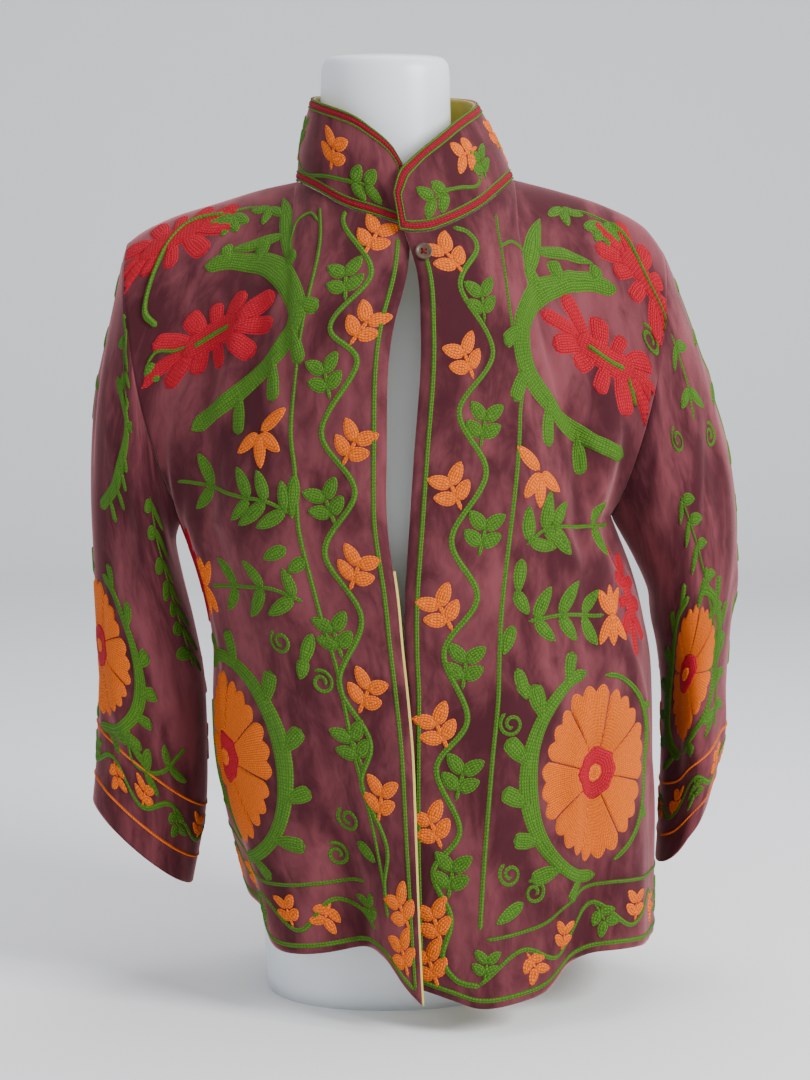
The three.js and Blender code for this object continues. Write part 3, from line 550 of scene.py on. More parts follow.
class Cloth:
    """A piece of cloth as a grid over its form, with flat cloth coordinates on it.

    Seen from outside, a runs to the right from `start` and b up from `ground`, both in
    millimetres of cloth.
    """

    def __init__(self, form, columns, rows, low=0.0, high=1.0, start=0.0, ground=0.0,
                 common=False):
        self.shape = (rows + 1, columns + 1)
        u, v = np.meshgrid(np.linspace(low, high, columns + 1), np.linspace(0, 1, rows + 1))
        self.points = form.folded(u.ravel(), v.ravel()).reshape(*self.shape, 3)
        rise, run = np.gradient(self.points, axis=(0, 1))
        self.normals = unit(np.cross(run, rise)) * form.facing
        across = np.linalg.norm(np.diff(self.points, axis=1), axis=2)
        along = np.linalg.norm(np.diff(self.points, axis=0), axis=2)
        self.a = np.concatenate([np.zeros((rows + 1, 1)), np.cumsum(across, axis=1)], axis=1)
        self.b = np.concatenate([np.zeros((1, columns + 1)), np.cumsum(along, axis=0)], axis=0)
        column = round((start - low) / (high - low) * columns)
        self.a -= self.a[:, column:column + 1]
        if ground == 1:
            self.b = self.b[-1:] - self.b
            self.a *= -form.facing
        else:
            self.b -= self.b[round(ground * rows)][None]
            self.a *= form.facing
        if common:
            self.a[:] = self.a.mean(axis=0)
        nearness = VIEW_DISTANCE / (VIEW_DISTANCE + self.points[..., 1])
        seen_x = VIEW_X + (self.points[..., 0] - VIEW_X) * nearness
        seen_z = VIEW_Z + (self.points[..., 2] - VIEW_Z) * nearness
        self.layers = np.concatenate([
            self.points, self.normals, self.a[..., None], self.b[..., None],
            seen_x[..., None], seen_z[..., None],
        ], axis=2)
        self.tree = KDTree(self.a.size)
        for i, (x, y) in enumerate(zip(self.a.flat, self.b.flat)):
            self.tree.insert((x, y, 0), i)
        self.tree.balance()

    def sample(self, column, row):
        """Bilinear values of the grid's layers at fractional columns and rows."""
        rows, columns = self.shape
        column = np.clip(column, 0, columns - 1.001)
        row = np.clip(row, 0, rows - 1.001)
        c, r = column.astype(int), row.astype(int)
        s, t = (column - c)[..., None], (row - r)[..., None]
        grid = self.layers
        low = lerp(grid[r, c], grid[r, c + 1], s)
        return lerp(low, lerp(grid[r + 1, c], grid[r + 1, c + 1], s), t)

    def find(self, x, y, layer, column, row):
        """Fractional columns and rows where two layers, from `layer` on, read x and y."""
        rows, columns = self.shape
        for _ in range(FIND_ROUNDS):
            here = self.sample(column, row)
            right = self.sample(column + 0.5, row) - self.sample(column - 0.5, row)
            above = self.sample(column, row + 0.5) - self.sample(column, row - 0.5)
            miss_x, miss_y = x - here[..., layer], y - here[..., layer + 1]
            scale = right[..., layer] * above[..., layer + 1]
            scale = scale - right[..., layer + 1] * above[..., layer]
            scale = np.where(np.abs(scale) < 1e-6, 1e-6, scale)
            step_c = (miss_x * above[..., layer + 1] - miss_y * above[..., layer]) / scale
            step_r = (right[..., layer] * miss_y - right[..., layer + 1] * miss_x) / scale
            column = np.clip(column + np.clip(step_c, -LONGEST_STEP, LONGEST_STEP), 0, columns - 1.001)
            row = np.clip(row + np.clip(step_r, -LONGEST_STEP, LONGEST_STEP), 0, rows - 1.001)
        return self.sample(column, row)

    def place(self, a, b):
        """Points, normals and whether they are on the cloth, at cloth coordinates."""
        nearest = [self.tree.find((x, y, 0))[1] for x, y in zip(a, b)]
        row, column = (index.astype(float) for index in np.unravel_index(nearest, self.shape))
        here = self.find(a, b, CHART, column, row)
        inside = np.hypot(a - here[..., CHART], b - here[..., CHART + 1]) < ON_CLOTH
        return here[..., :3], unit(here[..., 3:6]), inside

    def seen(self, places):
        """Cloth coordinates of places seen from the front: x and z on the middle plane."""
        places = np.asarray(places, float)
        x, z = places[..., 0], places[..., 1]
        shown = self.normals[..., 1] < FACES_VIEW
        miss = np.hypot(self.layers[..., SHOWN] - x[..., None, None],
                        self.layers[..., SHOWN + 1] - z[..., None, None]) + 1e4 * ~shown
        nearest = miss.reshape(*x.shape, -1).argmin(axis=-1)
        row, column = np.unravel_index(nearest, self.shape)
        found = self.find(x, z, SHOWN, column.astype(float), row.astype(float))
        return found[..., CHART:CHART + 2]

    def inset_outline(self, inset, count=420):
        """A closed path that keeps a distance inside the piece's outline."""
        chart = self.layers[..., CHART:CHART + 2]
        loop = np.concatenate([chart[0], chart[1:, -1], chart[-1, -2::-1], chart[-2:0:-1, 0]])
        loop = np.concatenate([loop, loop[:1]])
        way = np.concatenate([[0], np.cumsum(np.linalg.norm(np.diff(loop, axis=0), axis=1))])
        at = np.linspace(0, way[-1], count, endpoint=False)
        rim = np.stack([np.interp(at, way, loop[:, i]) for i in (0, 1)], axis=1)
        along = unit(np.roll(rim, -2, axis=0) - np.roll(rim, 2, axis=0))
        turned = np.roll(rim, -1, axis=0)
        area = (rim[:, 0] * turned[:, 1] - rim[:, 1] * turned[:, 0]).sum()
        inward = np.stack([-along[:, 1], along[:, 0]], axis=1) * np.sign(area)
        moved = rim + inward * inset
        apart = np.linalg.norm(moved[:, None] - rim[None], axis=2).min(axis=1)
        kept = moved[apart > inset * 0.93]
        return smooth_path(np.concatenate([kept, kept[:2]])[::2], 3)

    def hem(self, a, row=0):
        """The cloth height of the hem, or of another row, at a distance across."""
        order = np.argsort(self.a[row])
        return np.interp(a, self.a[row][order], self.b[row][order])


def cloth_object(name, cloth, thick, looks, lift=0.0, closed=False):
    """A closed thin wall on a cloth: its outside, its inside and the rims between."""
    rows, columns = cloth.shape
    points = cloth.points + cloth.normals * lift
    inside = points - cloth.normals * thick
    width = columns - 1 if closed else columns
    outer, inner = points[:, :width].reshape(-1, 3), inside[:, :width].reshape(-1, 3)
    count = len(outer)
    index = np.arange(count).reshape(rows, width)
    nxt = np.roll(index, -1, axis=1) if closed else index[:, 1:]
    base = index if closed else index[:, :-1]
    quads = np.stack([base[:-1], nxt[:-1], nxt[1:], base[1:]], axis=-1).reshape(-1, 4)
    uv_index = np.arange(rows * columns).reshape(rows, columns)
    uv_quads = np.stack(
        [uv_index[:-1, :-1], uv_index[:-1, 1:], uv_index[1:, 1:], uv_index[1:, :-1]], axis=-1
    ).reshape(-1, 4)
    rims = [(base[0], nxt[0]), (nxt[-1], base[-1])]
    uv_rims = [(uv_index[0, :-1], uv_index[0, 1:]), (uv_index[-1, 1:], uv_index[-1, :-1])]
    if not closed:
        rims += [(index[1:, 0], index[:-1, 0]), (index[:-1, -1], index[1:, -1])]
        uv_rims += [
            (uv_index[1:, 0], uv_index[:-1, 0]), (uv_index[:-1, -1], uv_index[1:, -1])
        ]
    faces = [quads, quads[:, ::-1] + count]
    uv_faces = [uv_quads, uv_quads[:, ::-1]]
    for (a, b), (c, d) in zip(rims, uv_rims):
        faces.append(np.stack([b, a, a + count, b + count], axis=-1))
        uv_faces.append(np.stack([d, c, c, d], axis=-1))
    slots = np.concatenate([np.full(len(f), i == 1, int) for i, f in enumerate(faces)])
    faces, uv_faces = np.concatenate(faces), np.concatenate(uv_faces)
    vertices = np.concatenate([outer, inner]) * MM
    if wall_volume(vertices, faces) < 0:
        faces, uv_faces = faces[:, ::-1], uv_faces[:, ::-1]
    uv = np.stack([cloth.a, cloth.b], axis=-1).reshape(-1, 2)[uv_faces.ravel()] * MM
    return mesh_object(name, vertices, faces, uv, slots, looks)


def wall_volume(vertices, faces):
    a, b, c, d = (vertices[faces[:, i]] for i in range(4))
    return (np.cross(b - a, c - a) * a).sum() + (np.cross(c - a, d - a) * a).sum()


def mesh_object(name, vertices, faces, uv, slots, looks):
    """One smooth object from arrays, with its own UV map named cloth."""
    mesh = bpy.data.meshes.new(name)
    mesh.from_pydata(vertices.tolist(), [], faces.tolist())
    for look in looks:
        mesh.materials.append(look)
    mesh.polygons.foreach_set("material_index", np.asarray(slots, np.int32))
    mesh.polygons.foreach_set("use_smooth", np.ones(len(faces), bool))
    layer = mesh.uv_layers.new(name="cloth")
    layer.data.foreach_set("uv", np.asarray(uv, np.float32).ravel())
    mesh.update()
    obj = bpy.data.objects.new(name, mesh)
    bpy.context.scene.collection.objects.link(obj)
    return obj


_cloths = {}


def cloth_of(name):
    """The grid of a piece, made once."""
    if name not in _cloths:
        if name in ("front_left", "front_right"):
            cloth = Cloth(PANELS[name], 104, 190, ground=ARMPIT_SHARE)
        elif name == "back":
            cloth = Cloth(PANELS[name], 208, 190, low=-1, start=0, ground=ARMPIT_SHARE)
        elif name in SLEEVES:
            cloth = Cloth(SLEEVES[name], 120, 150, low=-0.5, high=0.5, start=0, ground=1)
        else:
            cloth = Cloth(COLLAR, 260, 24, common=True)
        _cloths[name] = cloth
    return _cloths[name]


# ------------------------------------------------------------------ stitching
ROW_WIDTH = 2.3  # one row of chain stitch
STITCH = 2.9  # one stitch along a row
SUNK = 0.25  # how deep a stitched patch's edge lies in the pile
VINE_HALF = 2.8
LINE_HALF = 2.2
GREEN, ORANGE, CRIMSON, BRAID = range(4)


class Stitching:
    """Raised chain stitch on one cloth, gathered patch by patch."""

    def __init__(self, cloth):
        self.cloth = cloth
        self.rng = np.random.default_rng(7)
        self.grids = []

    def patch(self, ab, height, uv, thread):
        """One patch: cloth coordinates, heights and stitch coordinates on a grid."""
        self.grids.append((ab, height, uv, thread))

    def ribbon(self, path, half, thread, height=1.3, step=3.0, across=4, flat=2):
        """A raised band along a path; `half` is its half width, or a function of the way."""
        path = np.asarray(path, float)
        lengths = np.concatenate([[0], np.cumsum(np.linalg.norm(np.diff(path, axis=0), axis=1))])
        count = max(int(lengths[-1] / step), 3)
        at = np.linspace(0, lengths[-1], count + 1)
        middle = np.stack([np.interp(at, lengths, path[:, i]) for i in (0, 1)], axis=1)
        along = unit(np.gradient(middle, axis=0))
        side = np.stack([-along[:, 1], along[:, 0]], axis=1)
        s = np.linspace(-1, 1, across + 1)[None]
        shift = self.rng.uniform(0, 40)
        if callable(half):
            width = half(at / lengths[-1])[:, None]
            rows = width * (1 - np.abs(s)) / ROW_WIDTH
        else:
            cap = np.minimum(np.minimum(at, lengths[-1] - at) / half, 1)
            width = half * np.sqrt(np.maximum(1 - (1 - cap) ** 2, 0.02))[:, None]
            rows = (s + 1) / 2 * max(round(2 * half / ROW_WIDTH), 1)
        ab = middle[:, None] + side[:, None] * (s * width)[..., None]
        rise = np.sqrt(np.maximum(1 - np.abs(s) ** flat, 0)) * np.minimum(1, width / 1.2)
        uv = np.stack(np.broadcast_arrays(rows, at[:, None] / STITCH + shift), axis=-1)
        self.patch(ab, rise * height - SUNK, uv, thread)

    def leaf(self, base, angle, length, width, thread, bend=0.0, height=1.5):
        """A plump leaf; its angle is in degrees from right to up."""
        t = np.linspace(0, 1, 9)
        turn = np.radians(angle + bend * (t - 0.3))
        steps = np.stack([np.cos(turn), np.sin(turn)], axis=1) * length / 8
        path = np.asarray(base, float) + np.concatenate([[[0, 0]], np.cumsum(steps[1:], axis=0)])

        def half(t):
            return width / 2 * np.maximum(np.sin(math.pi * t**0.8), 0.02) ** 0.55
        self.ribbon(path, half, thread, height, step=length / 11, across=6, flat=3)

    def petal(self, base, angle, length, width, thread, height=1.6):
        """A long petal, narrow at its foot and round at its end."""
        end = polar(base, length, angle)

        def half(t):
            swell = 0.45 + 0.55 * smoothstep(t, 0, 0.6)
            tip = np.sqrt(np.maximum(1 - np.clip((t - 0.8) / 0.2, 0, 1) ** 2, 0.003))
            return width / 2 * swell * tip
        self.ribbon([base, end], half, thread, height, step=length / 14, across=6, flat=3)

    def build(self, name, looks):
        """Lays every patch on the cloth and makes one object of them."""
        flat = np.concatenate([grid[0].reshape(-1, 2) for grid in self.grids])
        points, up, inside = self.cloth.place(flat[:, 0], flat[:, 1])
        heights = np.concatenate([
            np.broadcast_to(grid[1], grid[0].shape[:2]).ravel() for grid in self.grids])
        vertices = (points + up * heights[:, None]) * MM
        uv = np.concatenate([grid[2].reshape(-1, 2) for grid in self.grids])
        faces, slots, first = [], [], 0
        for ab, _, _, thread in self.grids:
            rows, columns = ab.shape[:2]
            index = first + np.arange(rows * columns).reshape(rows, columns)
            corners = [index[:-1, :-1], index[:-1, 1:], index[1:, 1:], index[1:, :-1]]
            quads = np.stack(corners, axis=-1).reshape(-1, 4)
            quads = quads[inside[quads].all(axis=1)]
            faces.append(quads)
            slots.append(np.full(len(quads), thread))
            first += rows * columns
        faces, slots = np.concatenate(faces), np.concatenate(slots)
        a, b, c = (vertices[faces[:, i]] for i in range(3))
        turned = (np.cross(b - a, c - a) * up[faces[:, 0]]).sum(axis=1) < 0
        faces[turned] = faces[turned][:, ::-1]
        used, back = np.unique(faces.ravel(), return_inverse=True)
        faces = back.reshape(-1, 4)
        return mesh_object(name, vertices[used], faces, uv[used][faces.ravel()], slots, looks)


def polar(centre, radius, angle):
    angle = np.radians(angle)
    return np.asarray(centre, float) + np.stack(
        np.broadcast_arrays(radius * np.cos(angle), radius * np.sin(angle)), axis=-1)


def smooth_path(points, each=10):
    """A smooth path through a few points."""
    points = np.asarray(points, float)
    ends = np.concatenate([[2 * points[0] - points[1]], points, [2 * points[-1] - points[-2]]])
    path = []
    for i in range(1, len(ends) - 2):
        p0, p1, p2, p3 = ends[i - 1:i + 3]
        for t in np.linspace(0, 1, each, endpoint=False):
            path.append((2 * p1 + (p2 - p0) * t + (2 * p0 - 5 * p1 + 4 * p2 - p3) * t**2
                         + (3 * p1 - p0 - 3 * p2 + p3) * t**3) / 2)
    path.append(ends[-2])
    return np.array(path)


def heading(path, i):
    """The direction of a path at one of its points, in degrees."""
    ahead = path[min(i + 1, len(path) - 1)] - path[max(i - 1, 0)]
    return math.degrees(math.atan2(ahead[1], ahead[0]))


# ------------------------------------------------------------------ motifs
def sprig(work, base, angle, thread, size=1.0):
    """A short stem with two pairs of leaves."""
    top = polar(base, 27 * size, angle)
    work.ribbon([base, top], 2.3 * size, thread)
    for share, spread, length in ((0.4, 60, 22), (0.4, -54, 21), (0.95, 52, 23), (0.95, -46, 23)):
        root = lerp(np.asarray(base, float), top, share)
        work.leaf(root, angle + spread, length * size, 14.5 * size, thread)


def curl(work, centre, radius, start, turns, way=1, half=1.9, thread=GREEN):
    """A spiral tendril that winds in to its centre."""
    t = np.linspace(0, 1, 28)
    path = polar(centre, radius * (1 - 0.75 * t), start + way * 360 * turns * t)
    work.ribbon(path, half, thread, step=2.2)


def branch(work, stem, pairs, length=34, width=14, thread=GREEN, spread=57):
    """A stem with paired leaves that lean towards its end."""
    path = smooth_path(stem)
    work.ribbon(path, 2.0, thread)
    for i in range(pairs):
        at = int((i + 0.35) / pairs * (len(path) - 1))
        angle = heading(path, at)
        for side in (1, -1):
            size = 1 - 0.22 * ((3 * i + side) % 4) / 3
            work.leaf(path[at], angle + side * spread, length * size, width * size**0.5,
                      thread, bend=-10 * side)


LOBES = "share length width lean"
CRESCENT_LOBES = Table(LOBES, [
    (0.12, 19, 13, -30), (0.25, 23, 15, -12), (0.36, 25, 17, 4), (0.52, 30, 16, 48),
    (0.63, 36, 16, 44), (0.75, 40, 15, 40), (0.87, 38, 14, 34),
])
WREATH_LOBES = Table(LOBES, [
    (0.12, 29, 14, -46), (0.27, 32, 16, -44), (0.42, 32, 16, -42), (0.56, 30, 16, -40),
    (0.69, 28, 15, -38), (0.82, 32, 15, -36), (0.93, 26, 13, -28),
])
THIN_ARC = 5
THIN_LOBES = Table(LOBES, [(0.3, 14, 8, -40), (0.7, 14, 8, -40)])


def acanthus(work, path, half, lobes, outside, size=1.0, widest=0.5):
    """A thick curved leaf that tapers to both ends, with round lobes along its outer side."""
    def profile(t):
        cap = np.sqrt(np.clip(np.minimum(t, 1 - t) / 0.03, 0.02, 1))
        return half * (0.64 + 0.36 * bell(t - widest, 0.2)) * cap
    work.ribbon(path, profile, GREEN, 1.6, step=2.2, across=12, flat=5)
    for share, length, width, lean in lobes.rows:
        at = int(share * (len(path) - 1))
        angle = heading(path, at) + (90 - lean) * outside
        work.petal(path[at], angle, length * size, width * size, GREEN, height=1.7)


def bar_flower(work, centre, tilt, size=1.0, petals=11, bar=True):
    """A crimson flower whose plump petals leave a green bar across its middle."""
    for i in range(petals):
        turn = 360 * (i + 0.35) / petals
        root = polar(centre, 17 * size * math.cos(math.radians(turn)), tilt)
        length = 41 + 5 * math.cos(math.radians(2 * turn)) + 8 * math.sin(5 * i + 1)
        width = 20 - 2.5 * (i % 3)
        work.petal(root, tilt + turn, length * size, width * size, CRIMSON)
    core = [polar(centre, 30 * size, tilt + 180), polar(centre, 30 * size, tilt)]
    work.ribbon(core, 13 * size, CRIMSON, height=2.0, across=8, flat=4)
    if bar:
        ends = [polar(centre, 20 * size, tilt + 180), polar(centre, 20 * size, tilt)]
        work.ribbon(ends, 3.4, GREEN, height=3.2)


def big_flower(work, centre, radius_a, radius_b, petals=8, start=0.0):
    """A wide flower of scalloped petals round a disc."""
    t = np.linspace(0.3, 1, 15)[:, None]
    s = np.linspace(-1, 1, 25)[None]
    scallop = 1 - 0.09 * t**4 * (1 - np.abs(np.cos(1.5 * math.pi * s)))
    for i in range(petals):
        middle = start + 360 * i / petals
        angle = np.radians(middle + s * 180 / petals * 0.985)
        out = t * scallop * (1 - 0.04 * (i % 2)) * (1 - 0.03 * s**4)
        ab = np.stack([centre[0] + radius_a * out * np.cos(angle),
                       centre[1] + radius_b * out * np.sin(angle)], axis=-1)
        edge = np.sqrt(np.maximum(1 - s**24, 0)) * np.sqrt(np.maximum(1 - t**24, 0))
        rows = s * (0.3 + 0.7 * t) * radius_b * math.pi / petals / ROW_WIDTH
        uv = np.stack(np.broadcast_arrays(rows, t * radius_b / STITCH + i * 7.3), axis=-1)
        work.patch(ab, edge * 1.7 - SUNK, uv, ORANGE)
    disc(work, centre, 0.39 * radius_a, 0.31 * radius_b, CRIMSON, 2.5)
    disc(work, centre, 0.14 * radius_a, 0.11 * radius_b, ORANGE, 3.1)


def disc(work, centre, radius_a, radius_b, thread, height):
    """A round patch whose rows go round its middle."""
    t = np.linspace(0.02, 1, 8)[:, None]
    angle = np.linspace(0, 2 * math.pi, 33)[None]
    wave = 1 + 0.05 * np.cos(8 * angle) * t
    ab = np.stack([centre[0] + radius_a * t * wave * np.cos(angle),
                   centre[1] + radius_b * t * wave * np.sin(angle)], axis=-1)
    around = angle * radius_a * 0.7 / STITCH
    uv = np.stack(np.broadcast_arrays(t * radius_a / ROW_WIDTH, around), axis=-1)
    work.patch(ab, np.sqrt(np.maximum(1 - t**16, 0)) * height - SUNK + 0 * angle, uv, thread)


def wreathed_flower(work, centre, radius_a, radius_b, arcs):
    """A big flower in a wreath; each arc is its first and last angle and its half width."""
    big_flower(work, centre, radius_a, radius_b, start=10)
    for first, last, half in arcs:
        angle = np.radians(np.linspace(first, last, 40))
        grown = np.array([radius_a, radius_b]) + half + 3
        path = np.asarray(centre, float) + np.stack([np.cos(angle), np.sin(angle)], 1) * grown
        lobes = WREATH_LOBES if half > THIN_ARC else THIN_LOBES
        acanthus(work, path, half, lobes, -1 if last > first else 1, radius_b / 78)


def palmette(work, centre, angles, length=23, width=14.5):
    """Leaves that spread from one point."""
    for angle in angles:
        work.leaf(centre, angle, length, width, GREEN)


def star(work, centre, angles, length=30):
    """A small orange flower of a few leaf-shaped petals."""
    for i, angle in enumerate(angles):
        work.leaf(polar(centre, 2, angle), angle, length * (1 - 0.14 * (i % 2)), 13, ORANGE)


# ------------------------------------------------------------------ layout
# Places are x and z where they show on the middle plane from the camera.
LEFT = {
    "vine": [(-37, 712), (-37, 697), (-13, 654), (-51, 606), (-26, 573), (-59, 509), (-28, 454),
             (-56, 396), (-22, 336), (-43, 276), (-14, 221), (-22, 180), (1, 123), (-1, 88),
             (2, 56)],
    "line": [(-60, 715), (-63, 666), (-79, 592), (-87, 516), (-83, 465), (-66, 361), (-45, 289),
             (-31, 218), (-13, 146), (2, 65)],
    "crescent": [(-165, 661), (-137, 666), (-108, 663), (-88, 645), (-82, 618), (-97, 586),
                 (-134, 546), (-178, 511)],
    "loop": [(-61, 702), (-69, 710), (-81, 702), (-87, 683)],
    "tall": [((-88, 664), (-93, 723), 17), ((-92, 690), (-142, 676), 13)],
    "flower": (-158, 598, 26), "shoulder": (-196, 686, 20),
    "stem": [(-146, 709), (-175, 703), (-196, 686), (-212, 656), (-221, 621), (-210, 606)],
    "tendril": [(-176, 590), (-192, 584), (-210, 583), (-220, 570)],
    "small": (-116, 509), "small_angles": (40, 221, 278, 322),
    "branches": ([(-88, 434), (-111, 445), (-137, 450), (-192, 463)],
                 [(-76, 352), (-106, 364), (-130, 366), (-160, 367)]),
    "tulip": (-166, 367), "curls": ((-97, 315, 1), (-59, 277, -1)),
    "leaves": ((-84, 470, 268, 38), (-92, 402, 205, 26), (-74, 392, 215, 22), (-68, 322, 245, 32),
               (-75, 300, 250, 20)),
    "big": (-147, 208, 60, 77), "low": ((-34, 149, 1), (-45, 116, -1)),
    "low_leaf": (-26, 128, -40, 24),
}
RIGHT = {
    "vine": [(62, 697), (76, 692), (84, 677), (69, 642), (99, 583), (68, 529), (93, 472),
             (61, 410), (85, 356), (54, 304), (76, 242), (47, 196), (69, 138), (44, 99), (61, 56),
             (53, 19), (66, -3), (88, -9)],
    "line": [(101, 709), (112, 638), (125, 557), (124, 520), (115, 414), (105, 276), (99, 202),
             (88, 44)],
    "crescent": [(212, 640), (188, 647), (161, 645), (138, 636), (126, 610), (129, 571),
                 (150, 537), (181, 506), (218, 487)],
    "loop": [(105, 680), (116, 684), (127, 675), (132, 662)],
    "tall": [((130, 650), (141, 704), 17), ((136, 676), (190, 664), 13)],
    "flower": (203, 576, -27), "shoulder": (238, 650, -50),
    "stem": [(205, 701), (218, 690), (230, 670), (243, 643), (257, 612), (268, 589)],
    "tendril": [(222, 566), (226, 549), (230, 532), (226, 552)],
    "small": (143, 473), "small_angles": (136, 318, 268, 235),
    "branches": ([(130, 405), (147, 419), (165, 422), (204, 424)],
                 [(132, 334), (165, 340), (202, 340)]),
    "tulip": (210, 340), "curls": ((117, 238, 1), (243, 594, -1)),
    "leaves": ((126, 392, 265, 30), (120, 362, 300, 24), (118, 330, 250, 26),
               (122, 290, 285, 28), (122, 276, 320, 20)),
    "big": (192, 193, 60, 78), "low": ((116, 97, 1), (138, 80, -1)), "low_leaf": (128, 70, 210, 30),
}
SPRIGS = "x z angle thread"
LEFT_SPRIGS = Table(SPRIGS, [
    (-20, 672, 65, 1), (-33, 589, 60, 1), (-40, 478, 62, 1), (-33, 363, 62, 1),
    (-25, 248, 60, 1), (-7, 146, 75, 1), (23, 44, 118, 1), (21, 0, 105, 1),
    (-37, 630, 105, 0), (-51, 539, 105, 0), (-46, 423, 112, 0), (-40, 299, 100, 0),
    (-22, 197, 105, 0),
])
RIGHT_SPRIGS = Table(SPRIGS, [
    (72, 654, 120, 1), (81, 558, 115, 1), (70, 437, 115, 1), (62, 325, 118, 1),
    (58, 214, 115, 1), (52, 121, 112, 1), (52, 30, 105, 1), (49, -10, 110, 1),
    (91, 610, 95, 0), (87, 495, 80, 0), (86, 394, 80, 0), (71, 270, 80, 0), (65, 166, 75, 0),
    (58, 74, 80, 0),
])


def stitch_front(work, side):
    """The border, flowers and hem of one front, in a traditional layout."""
    cloth, plan = work.cloth, LEFT if side < 0 else RIGHT
    seen = cloth.seen
    inward = -side
    edge_top = cloth.hem(side * 10.0, -1)
    inset = Table("b a", [(-500, 6), (0, 11), (300, 11)])
    levels = np.linspace(cloth.hem(side * 8.0) + 7, edge_top - 14, 60)
    work.ribbon([(side * inset.read("a", b), b) for b in levels], LINE_HALF, GREEN)
    work.ribbon(smooth_path(seen(plan["line"])), LINE_HALF, GREEN)
    work.ribbon(smooth_path(seen(plan["vine"])), VINE_HALF, GREEN, step=2.6)
    for x, z, angle, thread in (LEFT_SPRIGS if side < 0 else RIGHT_SPRIGS).rows:
        sprig(work, seen((x, z)), angle, int(thread), 0.94)

    crescent = smooth_path(seen(plan["crescent"]))
    acanthus(work, crescent, 13, CRESCENT_LOBES, inward, widest=0.38)
    for base, tip, width in plan["tall"]:
        base, tip = seen((base, tip))
        rise = tip - base
        work.leaf(base, math.degrees(math.atan2(rise[1], rise[0])), np.hypot(*rise), width, GREEN)
    work.ribbon(smooth_path(seen(plan["loop"])), 2.0, GREEN)
    x, z, tilt = plan["flower"]
    bar_flower(work, seen((x, z)), tilt)
    work.ribbon(smooth_path(seen(plan["tendril"])), 2.0, GREEN, height=2.0)
    work.leaf(seen(plan["tendril"][-1]), -50 if side < 0 else 80, 24, 11, GREEN)
    x, z, tilt = plan["shoulder"]
    bar_flower(work, seen((x, z)), tilt, 0.95, bar=False)
    work.ribbon(smooth_path(seen(plan["stem"])), 2.4, GREEN, height=3.2)
    cluster = seen(plan["stem"][0])
    fan = [270 + side * turn for turn in (-72, -36, 0, 36, 75)]
    palmette(work, cluster + np.array([-side * 8, -3]), fan)
    tip = cluster + np.array([-side * 46, 8])
    work.ribbon(smooth_path([cluster, (cluster + tip) / 2 + (0, 4), tip]), 1.6, GREEN)
    palmette(work, tip, [270 + side * turn for turn in (-60, 0, 78)], 20, 11)

    star(work, seen(plan["small"]), plan["small_angles"])
    for stem, pairs in zip(plan["branches"], (4, 3)):
        branch(work, seen(stem), pairs)
    tulip = seen(plan["tulip"])
    for turn in (-60, -90, -120, 60, 90, 120):
        work.leaf(tulip, turn, 27, 11, ORANGE)
    bar_flower(work, tulip + np.array([side * 34, 12]), 90, 0.75, petals=9, bar=False)
    for x, z, way in plan["curls"] + plan["low"]:
        curl(work, seen((x, z)), 11, 120, 1.5, way)
    for x, z, angle, length in plan["leaves"] + (plan["low_leaf"],):
        work.leaf(seen((x, z)), angle, length, 12.5, GREEN)
    x, z, radius_a, radius_b = plan["big"]
    centre = seen((x, z))
    arcs = ((100, 275, 9), (-70, 85, 3.5)) if side > 0 else ((125, -92, 9), (150, 250, 4))
    wreathed_flower(work, centre, radius_a, radius_b, arcs)
    stitch_hem(work, side)


def stitch_hem(work, side):
    """Two lines and a wavy vine with sprigs, which follow the hem."""
    hem = work.cloth.hem
    far = np.abs(work.cloth.a[0]).max() - 1
    at = np.linspace(8 if side else -far, far, 60 if side else 110)
    sign = side or 1
    work.ribbon([(sign * a, hem(sign * a) + 7) for a in at], LINE_HALF, GREEN)
    at = np.linspace(66 if side else -far, far, 50 if side else 100)
    work.ribbon([(sign * a, hem(sign * a) + 59) for a in at], 1.8, GREEN)
    turns = np.arange(60 if side else -far - 20, far + 40, 40)
    points = [(sign * a, hem(sign * a) + (44 if i % 2 else 20)) for i, a in enumerate(turns)]
    work.ribbon(smooth_path(points, 12), 2.2, GREEN, step=2.8)
    for i, (a, b) in enumerate(points[:-1]):
        down = i % 2
        base = (a + sign * 4, b - 2 if down else b + 2)
        sprig(work, base, -90 + sign * 30 if down else 90 - sign * 10,
              GREEN if i % 3 == 0 else ORANGE, 0.66)


